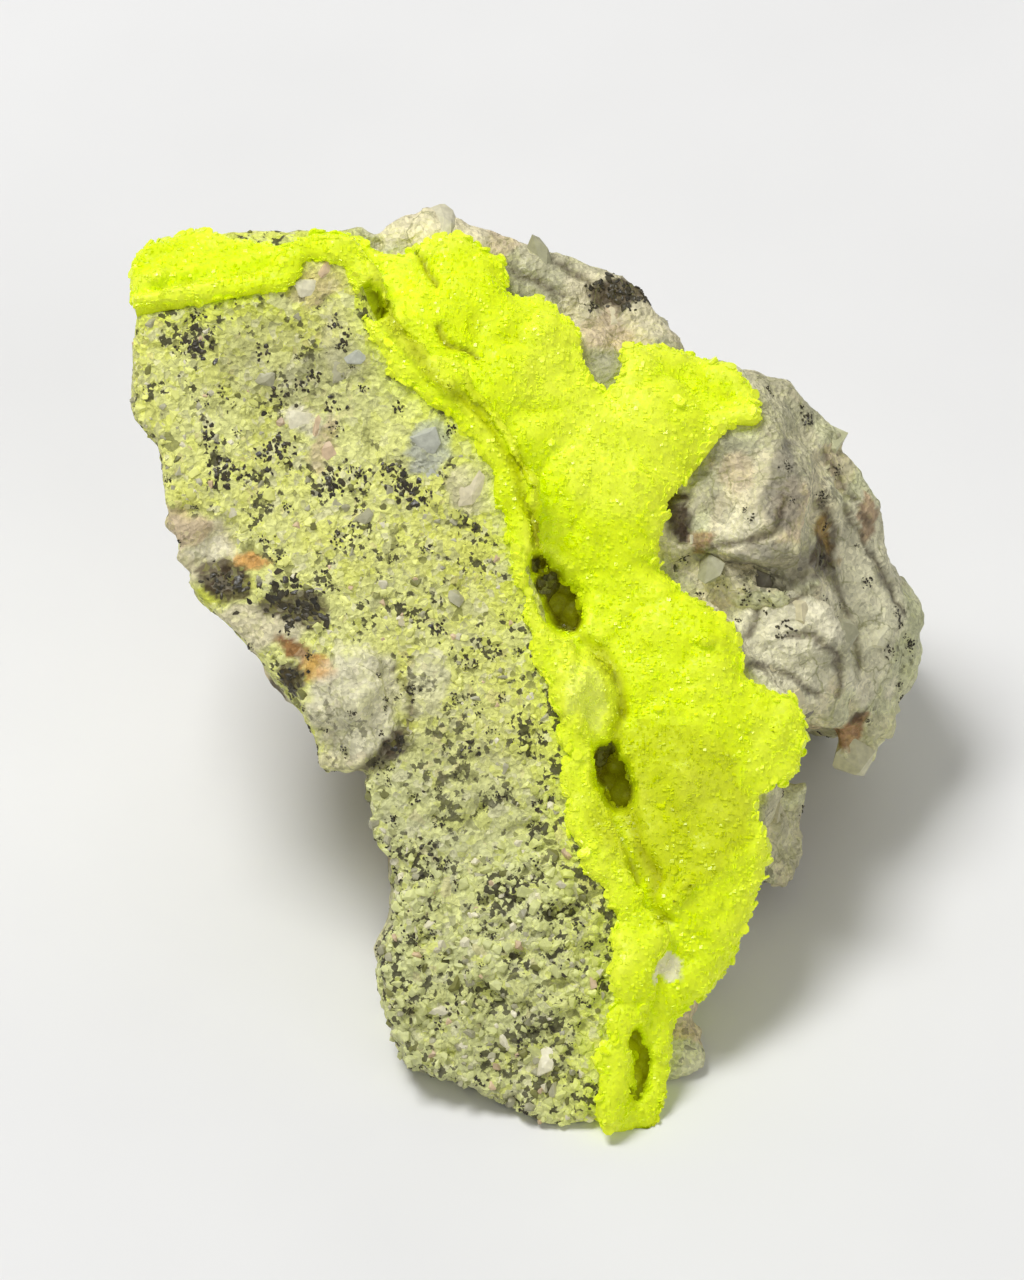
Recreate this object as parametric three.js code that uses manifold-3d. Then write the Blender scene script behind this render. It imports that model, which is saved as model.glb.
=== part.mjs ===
// Autunite on granite: a hand specimen with a crust of small yellow-green crystals.
//
// The specimen is modelled facing the viewer, in millimetres: x runs to the right, y up the
// display face and z towards the viewer. At the end the whole group leans back, so that the rock
// rests on its flat broken base with +Z up.
import * as THREE from "three";
import { ConvexGeometry } from "three/addons/geometries/ConvexGeometry.js";
import { ImprovedNoise } from "three/addons/math/ImprovedNoise.js";
import { TessellateModifier } from "three/addons/modifiers/TessellateModifier.js";
import { mergeVertices } from "three/addons/utils/BufferGeometryUtils.js";
import Module from "manifold-3d";

const wasm = await Module();
wasm.setup();

// Driving dimensions of the whole specimen
const LEAN = THREE.MathUtils.degToRad(45); // how far the display face leans back from upright
const BASE_DROP = 33.4; // from the face's centre straight down to the base the rock rests on
const BASE_CUTTER = 240; // side of the block that breaks the base off flat
const GAP = 0.5; // between the crust and the rock under it
const WELD = 0.001; // vertices nearer than this are one
const SHARPEST = 0.45; // cosine that limits how far a lump's corner moves when the lump grows

// The rock's broken surface
const ROCK_EDGE = 9.5; // longest triangle edge
const ROCK_SPLITS = 12; // rounds of halving that reach it
const ROCK_SWELLS = [
  { wave: 19, height: 3.2 },
  { wave: 7, height: 1.4 },
];
const FACE_ROUGHNESS = 0.35; // share of those swells left on the display face
const FULL_ROUGHNESS_DEPTH = 25; // how far behind the face they reach their full height
const BARE_FADE = [2.5, 7]; // they begin and are whole this far outside the crust

// The fine-grained granite slab in front: its broken outline, clockwise from the upper left
const SLAB_THICKNESS = 15;
const SLAB_BEVEL = 1.6;
const SLAB_SWELL = { wave: 8, height: 1.2 };
const SLAB_BLOCK = { width: 100, height: 110, columns: 12, rows: 13, turn: 0.4, warp: 5 };
const SLAB_OUTLINE = [
  [-39.4, 35.6], [-24.6, 38.4], [-22.5, 41.6], [-18.6, 41.6], [-14.8, 34.2], [-11, 29.2],
  [-5, 24.6], [-1.8, 19], [-0.8, 12.5], [1.6, 5], [3.4, -3.5], [5.6, -15], [9.4, -23.5],
  [10.6, -31.5], [8, -39], [7, -45], [2, -45.4], [-6, -42.4], [-12.8, -40], [-14.8, -32],
  [-14.8, -28], [-13, -25], [-13.4, -19.5], [-16, -16.6], [-17, -10.6], [-21, -10.6],
  [-23, -3], [-29.5, 4], [-34, 7], [-36.4, 14], [-37, 22.4], [-39.2, 25.4],
];

// Coarse lumps of quartz and feldspar, each the hull of its corners
const LUMPS = {
  // behind the slab's upper half, with the ledge that carries the crust along the top
  back_upper: [
    [-38.6, 39, -5], [-38.8, 41.4, -8], [-33, 44, -9.5], [-26, 43, -10], [-18, 44.4, -10],
    [-8, 43, -13], [-30, 37, -22], [-12, 41, -25], [-38.4, 27, -10], [-35.6, 14, -13],
    [-29, 5, -14], [-21, -8, -12], [-14, -10, -8], [2, -8, -8], [-27, 14, -31], [-19, -4, -38],
    [0, -8, -44], [0, 20, -40],
  ],
  // behind its lower half, down to the broad base
  back_lower: [
    [-14, -9, -10], [-12.6, -20, -10], [-13.6, -30, -9], [-12, -39, -6], [-5, -42, -5],
    [7, -44, -4], [12, -33, -6], [12, -8, -9], [-15.6, -27, -18], [-13, -20, -30],
    [-12, -8, -42], [4, -4, -47], [18, -6, -44], [20, -20, -30], [16, -33, -16],
  ],
  // two broken steps on the back
  rear_left: [
    [-31, 26, -24], [-24, 34, -25], [-14, 32, -34], [-15, 12, -41], [-26, 8, -33],
    [-30, 16, -22], [-18, 20, -20], [-20, 22, -37],
  ],
  rear_right: [
    [4, 30, -36], [16, 28, -38], [24, 14, -43], [14, 4, -47], [2, 8, -46], [6, 18, -30],
    [20, 16, -30],
  ],
  // round pebble of quartz and feldspar on the slab's left edge
  pebble: [
    [-22.6, -1, -3], [-22.4, -5, 1], [-20.6, -10.4, -2], [-16.6, -10.4, 0], [-13.4, -7.4, 1.2],
    [-12.6, -2.6, 1.4], [-15, 1.8, 1.2], [-19, 2.4, 0.8], [-18.5, -5.5, 2.6], [-15.5, -1.5, 2.8],
    [-21, -4, -10], [-14, -8, -10],
  ],
  // the glassy crown that stands above the crust
  crown: [
    [-15.4, 41, -8], [-15, 45.2, -10], [-10, 46.4, -11], [-5, 44.8, -12], [2.4, 39.8, -12],
    [9.6, 39.2, -15], [12.6, 36.4, -15], [15, 32.6, -13], [10, 26, -9], [0, 30, -10],
    [-8, 36, -8], [-12, 40, -25], [8, 34, -31], [14, 26, -34], [0, 20, -38],
  ],
  // the rock under the upper and the lower half of the crust
  upper_bed: [
    [-14, 35.5, -6], [-4, 38, -9], [8, 33, -9], [14, 24, -8], [16.4, 12, -6.5], [8, 7, -9],
    [4, 13, -10], [1, 21, -10], [-8, 30, -7], [-6, 30, -34], [16, 16, -40], [4, 6, -38],
  ],
  lower_bed: [
    [9, 7, -8], [18, 7, -6], [24, -1, -6], [26.4, -5.4, -5.4], [22, -11.4, -6], [22.6, -18, -6],
    [20.4, -25, -5], [16, -31.4, -4], [11.6, -34, -4], [12.6, -24, -8], [10.6, -10, -7],
    [25, -13, -25], [19, -27, -14], [16, -36, -7], [8, 2, -42], [24, -3, -44],
  ],
  // the floor of the fracture between the slab and the beds
  groove_floor: [
    [-12, 33, -8], [0, 26, -9], [9, 10, -9], [12, -6, -9], [13, -28, -7], [9, -35, -6],
    [0, -20, -9], [-4, 6, -9], [-8, 26, -8], [8, 14, -36], [6, -14, -34], [-8, 12, -34],
  ],
  // the pale quartz knob that stands out of the crust on the right
  knob: [
    [15.4, 20, -8.5], [19.4, 25, -9], [24.4, 24, -8], [27.6, 18, -8], [26.6, 11.6, -6.5],
    [21, 10.6, -4], [15.8, 12.6, -6.5], [14, 16, -9], [13, 28, -13], [22, 28, -14], [16, 24, -22],
    [28, 22, -22], [28, 9, -16], [15, 8, -18],
  ],
  // the greenish right flank
  flank: [
    [16, 32, -14], [20.6, 30.6, -13], [25.8, 29.6, -17], [31.6, 24, -18], [37, 14.6, -20],
    [40.2, 4.6, -23], [37.8, -2, -25], [35.2, -5.4, -23], [29.4, -4.6, -15], [28.4, 8, -10],
    [27.4, 20, -10], [23.6, 27, -11], [25, 22, -38], [36, 4, -40], [30, -6, -40],
    [18, -2, -47], [13, 24, -38],
  ],
  // the rough ledge under the knob, with its rusty spur
  ledge: [
    [20.6, 7, -9.5], [25, 8.4, -8.4], [30, 6.4, -9], [33.4, 0, -12], [31.6, -4.6, -14],
    [27.4, -5, -9], [22.6, 0, -7], [13, 10, -13], [12, 4, -14], [21, 4, -26], [33, -3, -28],
    [26, -6, -26],
  ],
  spur: [
    [30.4, -3.6, -20], [34, -4.4, -20], [33.6, -9, -22], [31.6, -8.6, -21], [32.6, -4, -27],
    [33, -8, -26],
  ],
  // stubs of quartz low on the right, half hidden under the crust
  foot: [
    [20, -12, -18], [27.6, -11.4, -21], [28, -16.4, -22], [25.6, -21, -20], [18, -24, -12],
    [19, -12, -30], [27, -17, -27],
  ],
  toe: [
    [12, -35, -5], [16.6, -34.4, -6], [17.8, -38.8, -6.4], [15.6, -41.4, -5.6], [12.4, -42, -5],
    [13, -36, -12], [17, -37, -10],
  ],
};

// Open hollows between slab and crust: centre and radii
const VUGS = [
  { at: [3.6, 7, -11], size: [1.9, 3.4, 9] },
  { at: [8.8, -11.5, -10], size: [1.9, 3.8, 9] },
  { at: [10.9, -39.6, -1], size: [1.2, 3.6, 4.2] },
  { at: [-15.6, 37, -4], size: [1.1, 2, 3.2] },
];

// The crust's edge on the display face, clockwise from the upper left
const CRUST_OUTLINE = [
  [-39.6, 36], [-39.8, 40], [-38.4, 42.4], [-33, 44], [-29, 42.6], [-24, 42.4], [-21, 44],
  [-17.6, 43.6], [-15.6, 41.4], [-12, 41], [-10, 43.4], [-7, 43], [-3, 40.6], [-2.6, 37.6],
  [1, 37], [4.6, 34], [5, 31], [7.4, 27], [9.4, 29], [9.6, 32.2], [13, 32], [16, 31], [21, 29.6],
  [23.2, 25.2], [20, 25], [16.4, 20.4], [13.6, 17], [12.6, 12.6], [12.8, 9.4], [16, 7], [20.4, 4],
  [21.2, -1], [26, -3], [27.4, -5.4], [26.4, -10.4], [22.6, -12.2], [22, -14], [23.6, -18],
  [22, -23.6], [19.6, -29.6], [16, -33.2], [12.8, -35.6], [12.8, -45.6], [10.8, -46.4],
  [8, -45.8], [7, -44], [7.4, -39], [10, -33], [8.6, -24], [4.6, -15], [4.4, -8], [2, -3],
  [0.4, 5], [-2.2, 12.5], [-3, 19], [-6, 23.8], [-12, 28.2], [-16.4, 34], [-18.6, 40.4],
  [-22.6, 41.2], [-24.8, 38], [-32, 36.8],
];

// The crust is a layer that follows the rock inside that edge, from the front back to its reach
const LAYER_THICKNESS = 1.6;
const LAYER_FRONT = 8;
const LAYER_REACH = 12.5;

// Low rounded lumps of crystals stand out of the layer, smaller near its edge
const LUMP_SPACING = 5.8;
const LUMP_JITTER = 1.3;
const LUMP_RADIUS = { smallest: 2, largest: 5, spread: 0.65 };
const LUMP_INSET = 1.6; // least distance from the crust's edge to the middle of a lump
const LUMP_SINK = 0.28; // depth of a lump's middle in the layer, over its radius
const LUMP_FLATNESS = 0.62; // height of a lump over its radius
const ROUND_LUMP = 4.3; // lumps larger than this have more faces

// Lumps on the narrow band along the top, where the grid is too wide
const BAND_PLACES = [[-37.6, 39.4], [-34.4, 41.4], [-31.4, 39.8], [-28.2, 41], [-25, 40.2]];

// A row of small lumps where the crust climbs over the slab's broken edge, between these corners
// of its outline
const CLIMB = { from: 4, to: 14, spacing: 4.2, height: 0.6, smallest: 1.8, largest: 3.2 };

// Lumps with a place of their own: the rosette on the slab's edge, and those round the open
// pocket at the foot of the fracture (place and radius)
const ROSETTE_LUMPS = [[5.4, -1, -2, 3.6], [6.6, -5.4, -2.6, 3.2]];
const POCKET_LUMPS = [
  [10.2, -35, -2.4, 2.6], [8.4, -38.4, -1.6, 2.2], [9, -41, -1.2, 2], [8, -43.2, -1.2, 2],
  [9.4, -44.8, -1.2, 2], [11.4, -44.6, -1.2, 1.9], [12.4, -42.6, -1.6, 1.6], [12.5, -40.4, -2, 1.5],
  [12.5, -38.2, -2.2, 1.6], [12.3, -36, -2.4, 2],
];

// Tabular crystals that stand out of the lumps
const TABLETS = { every: 5, smallest: 1.8, largest: 3.2, thickness: 0.6 };

const ROW_SQUEEZE = Math.sqrt(3) / 2; // rows of an even staggered grid lie this much closer
const RAY_HEIGHT = 60; // in front of the display face, where rays towards it start

const RANDOM = { factor: 1664525, step: 1013904223, range: 2 ** 32 };

const noise = new ImprovedNoise();
let seed = 20;

// A repeatable random number from 0 to 1
function random() {
  seed = (seed * RANDOM.factor + RANDOM.step) % RANDOM.range;
  return seed / RANDOM.range;
}

function between(low, high) {
  return low + (high - low) * random();
}

// A closed mesh with only positions, its shared vertices merged
function welded(geometry) {
  const bare = geometry.clone();
  bare.deleteAttribute("normal");
  bare.deleteAttribute("uv");
  return mergeVertices(bare, WELD);
}

function solidOf(geometry) {
  const mesh = welded(geometry);
  const vertProperties = mesh.attributes.position.array;
  const triVerts = new Uint32Array(mesh.index.array);
  return new wasm.Manifold(new wasm.Mesh({ numProp: 3, vertProperties, triVerts }));
}

function geometryOf(solid) {
  const { vertProperties, triVerts } = solid.getMesh();
  const geometry = new THREE.BufferGeometry();
  geometry.setAttribute("position", new THREE.BufferAttribute(vertProperties, 3));
  geometry.setIndex(new THREE.BufferAttribute(triVerts, 1));
  return geometry;
}

function vectorsOf(attribute) {
  return Array.from({ length: attribute.count }, (_, i) => {
    return new THREE.Vector3().fromBufferAttribute(attribute, i);
  });
}

// The hull of some corners, with every face moved outwards by the growth: each corner goes along
// the middle of its faces' normals, far enough for the face that turns most away from it
function hull(corners, growth) {
  const geometry = new ConvexGeometry(corners.map((corner) => new THREE.Vector3(...corner)));
  const { position, normal } = geometry.attributes;
  const points = vectorsOf(position);
  const normals = vectorsOf(normal);
  points.forEach((point, i) => {
    const fan = normals.filter((_, j) => points[j].distanceTo(point) < WELD);
    const outwards = fan.reduce((sum, face) => sum.add(face), new THREE.Vector3()).normalize();
    const least = Math.min(...fan.map((face) => face.dot(outwards)));
    const moved = point.clone().addScaledVector(outwards, growth / Math.max(least, SHARPEST));
    position.setXYZ(i, moved.x, moved.y, moved.z);
  });
  return geometry;
}

function outlineShape(outline) {
  return new THREE.Shape(outline.map((corner) => new THREE.Vector2(...corner)));
}

// Moves each vertex along its normal by what the given function says
function pushed(geometry, distance) {
  const mesh = welded(geometry);
  mesh.computeVertexNormals();
  const { position, normal } = mesh.attributes;
  const point = new THREE.Vector3();
  const direction = new THREE.Vector3();
  for (let i = 0; i < position.count; i++) {
    point.fromBufferAttribute(position, i);
    direction.fromBufferAttribute(normal, i);
    point.addScaledVector(direction, distance(point));
    position.setXYZ(i, point.x, point.y, point.z);
  }
  return mesh;
}

function swell(point, { wave, height }) {
  return height * noise.noise(point.x / wave, point.y / wave, point.z / wave);
}

// The half-space under the base, as a block turned to lie flat once the specimen leans back
function baseCutter() {
  const block = new THREE.BoxGeometry(BASE_CUTTER, BASE_CUTTER, BASE_CUTTER);
  block.translate(0, 0, -BASE_CUTTER / 2 - BASE_DROP);
  return solidOf(block.rotateX(-LEAN));
}

function cutAway(solid, cutters) {
  return cutters.reduce((left, cutter) => left.subtract(cutter), solid);
}

function vugCutters() {
  return VUGS.map(({ at, size }) => {
    const ball = new THREE.IcosahedronGeometry(1, 1);
    return solidOf(ball.scale(...size).translate(...at));
  });
}

// Shifts each vertex across the display face, so that a grid on it looks broken
function warpSideways({ attributes: { position } }, wave) {
  const point = new THREE.Vector3();
  for (let i = 0; i < position.count; i++) {
    point.fromBufferAttribute(position, i);
    const shift = swell({ x: point.x, y: point.y, z: 0 }, wave);
    const other = swell({ x: point.y, y: point.x, z: wave.wave / 2 }, wave);
    position.setXY(i, point.x + shift, point.y + other);
  }
}

// The slab: a block with an uneven face, cut to the broken outline
function slab(growth) {
  const { width, height, columns, rows, turn, warp } = SLAB_BLOCK;
  const block = new THREE.BoxGeometry(width, height, SLAB_THICKNESS, columns, rows, 1);
  block.rotateZ(turn).translate(0, 0, -SLAB_THICKNESS / 2);
  warpSideways(block, { wave: SLAB_SWELL.wave, height: warp });
  const uneven = pushed(block, (point) => growth + swell(point, SLAB_SWELL));
  const extent = new THREE.ExtrudeGeometry(outlineShape(SLAB_OUTLINE), {
    depth: SLAB_THICKNESS - 2 * SLAB_BEVEL + 2 * growth,
    bevelThickness: SLAB_BEVEL,
    bevelSize: SLAB_BEVEL,
    bevelOffset: growth - SLAB_BEVEL,
    bevelSegments: 1,
  });
  extent.translate(0, 0, SLAB_BEVEL + SLAB_SWELL.height - SLAB_THICKNESS - growth);
  return solidOf(uneven).intersect(solidOf(extent));
}

// The slab and every lump grown together, each of them fatter all round by the given distance
function plainRock(growth) {
  const lumps = Object.values(LUMPS).map((corners) => solidOf(hull(corners, growth)));
  return wasm.Manifold.union([slab(growth), ...lumps]);
}

// The finished rock: broken rough where no crust covers it, hollowed, and flat at the base
function matrixSolid() {
  const fine = new TessellateModifier(ROCK_EDGE, ROCK_SPLITS).modify(geometryOf(plainRock(0)));
  const rough = pushed(fine, (point) => {
    const deep = THREE.MathUtils.smoothstep(-point.z, 0, FULL_ROUGHNESS_DEPTH);
    const outside = Math.max(-insetOf(point), -point.z - LAYER_REACH);
    const bare = THREE.MathUtils.smoothstep(outside, ...BARE_FADE);
    const share = bare * THREE.MathUtils.lerp(FACE_ROUGHNESS, 1, deep);
    return share * ROCK_SWELLS.reduce((sum, wave) => sum + swell(point, wave), 0);
  });
  return cutAway(solidOf(rough), [baseCutter(), ...vugCutters()]);
}

// Finds where a place on the display face meets a surface, and which way that faces there
function surfaceFinder(geometry) {
  const target = new THREE.Mesh(geometry, new THREE.MeshBasicMaterial());
  const ray = new THREE.Raycaster();
  const away = new THREE.Vector3(0, 0, -1);
  return ({ x, y }) => {
    ray.set(new THREE.Vector3(x, y, RAY_HEIGHT), away);
    const hit = ray.intersectObject(target)[0];
    return hit && { point: hit.point, normal: hit.face.normal };
  };
}

// How far inside the crust's edge a place is, or a negative distance outside
function insetOf(place) {
  const corners = CRUST_OUTLINE.map((corner) => new THREE.Vector3(...corner, 0));
  const spot = new THREE.Vector3(place.x, place.y, 0);
  const nearest = new THREE.Vector3();
  let distance = Infinity;
  let inside = false;
  corners.forEach((from, i) => {
    const to = corners[(i + 1) % corners.length];
    new THREE.Line3(from, to).closestPointToPoint(spot, true, nearest);
    distance = Math.min(distance, nearest.distanceTo(spot));
    const crosses = from.y > spot.y !== to.y > spot.y;
    const reach = from.x + ((spot.y - from.y) / (to.y - from.y)) * (to.x - from.x);
    if (crosses && spot.x < reach) inside = !inside;
  });
  return inside ? distance : -distance;
}

// Places for the lumps: a staggered grid inside the crust's edge, and those on the band
function gridPlaces() {
  const box = new THREE.Box2().setFromPoints(CRUST_OUTLINE.map((corner) => new THREE.Vector2(...corner)));
  const jitter = () => between(-LUMP_JITTER, LUMP_JITTER);
  const places = [];
  for (let y = box.min.y, row = 0; y < box.max.y; y += LUMP_SPACING * ROW_SQUEEZE, row++) {
    const stagger = (row % 2) * (LUMP_SPACING / 2);
    for (let x = box.min.x + stagger; x < box.max.x; x += LUMP_SPACING) {
      places.push(new THREE.Vector2(x + jitter(), y + jitter()));
    }
  }
  const band = BAND_PLACES.map((place) => new THREE.Vector2(...place));
  return [...places.filter((place) => insetOf(place) > LUMP_INSET), ...band];
}

function climbSpots() {
  const edge = outlineShape(SLAB_OUTLINE.slice(CLIMB.from, CLIMB.to + 1));
  const normal = new THREE.Vector3(1, 0, 1).normalize();
  return edge.getSpacedPoints(Math.round(edge.getLength() / CLIMB.spacing)).map(({ x, y }) => {
    const radius = between(CLIMB.smallest, CLIMB.largest);
    return { point: new THREE.Vector3(x, y, CLIMB.height), normal, radius };
  });
}

function randomTurn(geometry) {
  return geometry.rotateX(between(0, Math.PI)).rotateY(between(0, Math.PI)).rotateZ(between(0, Math.PI));
}

// A rounded lump of crystals, flattened onto the rock that it grew on
function lump({ point, normal, radius }) {
  const ball = randomTurn(new THREE.IcosahedronGeometry(radius, radius > ROUND_LUMP ? 1 : 0));
  ball.scale(1, 1, LUMP_FLATNESS);
  ball.applyQuaternion(new THREE.Quaternion().setFromUnitVectors(new THREE.Vector3(0, 0, 1), normal));
  return solidOf(ball.translate(point.x, point.y, point.z));
}

// One tabular crystal: a thin square plate standing out of a lump at a random angle
function tablet({ point, normal, radius }) {
  const side = between(TABLETS.smallest, TABLETS.largest);
  const plate = randomTurn(new THREE.BoxGeometry(side, side, TABLETS.thickness));
  const root = point.clone().addScaledVector(normal, radius * LUMP_FLATNESS);
  return solidOf(plate.translate(root.x, root.y, root.z));
}

// Lumps on the grid are smaller near the crust's edge, so that they follow it
function gridSpots(layer) {
  const surface = surfaceFinder(geometryOf(layer));
  const { smallest, largest, spread } = LUMP_RADIUS;
  return gridPlaces().flatMap((place) => {
    const hit = surface(place);
    const radius = THREE.MathUtils.clamp((insetOf(place) + 1) * between(spread, 1), smallest, largest);
    hit?.point.addScaledVector(hit.normal, -LUMP_SINK * radius);
    return hit ? [{ ...hit, radius }] : [];
  });
}

function placedSpots() {
  const normal = new THREE.Vector3(0, 0, 1);
  return [...ROSETTE_LUMPS, ...POCKET_LUMPS].map(([x, y, z, radius]) => {
    return { point: new THREE.Vector3(x, y, z), normal, radius };
  });
}

// A layer over the rock, as wide as the crust's edge says
function crustLayer() {
  const extent = new THREE.ExtrudeGeometry(outlineShape(CRUST_OUTLINE), {
    depth: LAYER_FRONT + LAYER_REACH,
    bevelEnabled: false,
  });
  return plainRock(LAYER_THICKNESS).intersect(solidOf(extent.translate(0, 0, -LAYER_REACH)));
}

// The crust: its layer, lumps and tablets grown together, open where the rock and the hollows are
function crustSolid() {
  const layer = crustLayer();
  const spots = [...gridSpots(layer), ...climbSpots(), ...placedSpots()];
  const tablets = spots.filter((_, i) => i % TABLETS.every === 0).map(tablet);
  const whole = wasm.Manifold.union([layer, ...spots.map(lump), ...tablets]);
  const pieces = cutAway(whole, [plainRock(GAP), baseCutter(), ...vugCutters()]).decompose();
  return pieces.sort((a, b) => b.volume() - a.volume())[0];
}

function specimen() {
  const granite = new THREE.MeshStandardMaterial({ color: 0xb9b99a, roughness: 0.9 });
  const autunite = new THREE.MeshStandardMaterial({ color: 0xdff005, roughness: 0.55 });
  const rock = new THREE.Mesh(geometryOf(matrixSolid()), granite);
  rock.name = "granite_matrix";
  const crust = new THREE.Mesh(geometryOf(crustSolid()), autunite);
  crust.name = "autunite_crust";
  const group = new THREE.Group();
  group.add(rock, crust);
  group.rotation.x = LEAN;
  return standing(group);
}

// Moves the group so that the middle of its box's underside is the origin
function standing(group) {
  const box = new THREE.Box3().setFromObject(group, true);
  const middle = box.getCenter(new THREE.Vector3());
  group.position.set(-middle.x, -middle.y, -box.min.z);
  return group;
}

export default specimen();
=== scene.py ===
"""Looks of a mineral specimen: a granite slab and quartz block under a crust of autunite crystals.

Shapes are worked on in millimetres across, up and out of the display face, which leans back, and
are turned into the frame's metres when a piece is made.
"""
import math

import bmesh
import bpy
import numpy as np
from mathutils import Euler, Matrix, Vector, noise
from mathutils.bvhtree import BVHTree


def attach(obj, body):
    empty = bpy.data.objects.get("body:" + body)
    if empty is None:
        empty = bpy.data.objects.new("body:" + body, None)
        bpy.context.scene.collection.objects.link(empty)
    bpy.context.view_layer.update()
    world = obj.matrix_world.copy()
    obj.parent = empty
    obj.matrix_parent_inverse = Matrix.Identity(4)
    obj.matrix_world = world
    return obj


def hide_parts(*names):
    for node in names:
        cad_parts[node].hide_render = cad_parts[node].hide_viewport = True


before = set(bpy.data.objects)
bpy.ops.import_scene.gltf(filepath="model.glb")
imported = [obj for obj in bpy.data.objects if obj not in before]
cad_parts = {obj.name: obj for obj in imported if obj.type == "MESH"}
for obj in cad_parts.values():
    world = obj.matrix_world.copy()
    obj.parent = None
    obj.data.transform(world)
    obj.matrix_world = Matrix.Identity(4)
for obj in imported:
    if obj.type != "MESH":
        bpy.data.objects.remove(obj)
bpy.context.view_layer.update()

# One seed for the draws and for the noise vectors
SEED = 11
draw = np.random.default_rng(SEED)
noise.seed_set(SEED)

# The display face in the frame
MM = 0.001
LEAN = math.radians(45)
FACE_CENTRE = np.array((0.000336, -0.007370, 0.033400))
FACE_AXES = np.array((
    (1, 0, 0),
    (0, math.cos(LEAN), math.sin(LEAN)),
    (0, -math.sin(LEAN), math.cos(LEAN)),
))

# The view of the photograph: its middle on the face, the height that it shows and the lens
VIEW_MIDDLE = (-1.8, 3.0, 0.0)
VIEW_HEIGHT = 128 * MM
VIEW_DISTANCE = 2.4
SENSOR_HEIGHT = 36

# Mineral colours as the eye sees them, from 0 to 255
MINERALS = {
    "ground": (230, 232, 120),
    "sulphur": (224, 230, 78),
    "pale": (234, 236, 150),
    "grey": (178, 175, 142),
    "white": (230, 224, 192),
    "cream": (228, 218, 180),
    "pink": (216, 190, 154),
    "olive": (126, 126, 66),
    "green": (210, 215, 166),
    "blue": (186, 188, 172),
    # A darker grey painted as shade on the block's shaded side, underside and lower edge
    "shaded_grey": (138, 132, 116),
    "rust": (150, 92, 40),
    "amber": (222, 168, 92),
    "brown": (66, 48, 22),
    "mica": (50, 45, 24),
    "gold": (146, 112, 30),
    "neon": (221, 239, 0),
    "lemon": (230, 242, 58),
    # Moss is also painted as shade in the crust's hollows, grooves and cracks
    "moss": (172, 176, 2),
    # The darkest olive is painted shade, deep in the hollows
    "hollow_shade": (104, 96, 8),
}

# Where the slab ends on the right: height on the face and place across it
SLAB_EDGE = (
    (-45, 7), (-31.5, 10.6), (-15, 5.6), (5, 1.6), (12.5, -0.8), (19, -1.8), (24.6, -5),
    (29.2, -11), (34.2, -14.8), (41.6, -18.6),
)
SLAB_DEPTH = 14

# Open hollows between slab and crust, each of overlapping ovals: across, up, reach across and up, floor
HOLLOWS = (
    (0.9, 10.6, 1.0, 1.2, -8.6), (1.9, 8.6, 1.4, 1.6, -8.6), (2.9, 6.8, 1.5, 1.8, -8.6),
    (3.6, 5.2, 1.7, 1.5, -8.6), (7.6, -8.6, 1.3, 1.3, -8.2), (8.2, -10.4, 1.8, 1.6, -8.2),
    (9.0, -12.2, 1.5, 1.6, -7.6), (10.6, -37.4, 0.8, 1.6, -5.4),
    (11.2, -40.0, 1.0, 2.0, -5.4), (10.6, -42.2, 0.7, 1.0, -5.4), (-15.9, 37.2, 0.9, 1.3, -6.5),
    (-15.0, 35.9, 0.6, 0.9, -6.5),
)
HOLLOW_SHARE = 0.2

# Clefts of the solid that the rock's own quartz fills: across, up, reach across and up, lowest place
FILLED = ((23.5, 9.2, 6.0, 3.4, -8.6), (16.5, 9.0, 5.0, 3.0, -8.0))
FILLED_SHARE = 0.08
FILLED_EDGE = (0.75, 1.2)
FILLED_DEPTH = 12

# Single crystals of quartz with smooth faces: across, up, reach across and up, width of a face
QUARTZ_FACES = ((-17.4, -4.2, 5.2, 6.4, 5.0), (-33.0, 12.6, 4.6, 4.2, 4.0))

# Rounded lumps that line the hollows: across, up, out, radius
LININGS = (
    (3.4, 8.6, -10.4, 1.9), (4.2, 5.6, -10.0, 2.0), (3.4, 3.6, -9.6, 1.6), (2.6, 6.6, -9.4, 1.5),
    (8.6, -9.2, -9.8, 1.9), (9.4, -12.4, -9.4, 2.1), (8.6, -14.6, -9.0, 1.7), (7.8, -11.6, -9.4, 1.6),
    (9.4, -38.2, -3.6, 1.6), (9.6, -40.8, -3.4, 1.7), (11.2, -39.4, -5.6, 2.4), (10.9, -42.6, -4.6, 2.0),
    (11.0, -36.8, -5.2, 2.0), (-15.6, 36.6, -7.4, 1.9), (-15.2, 38.2, -7.2, 1.4),
)

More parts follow.
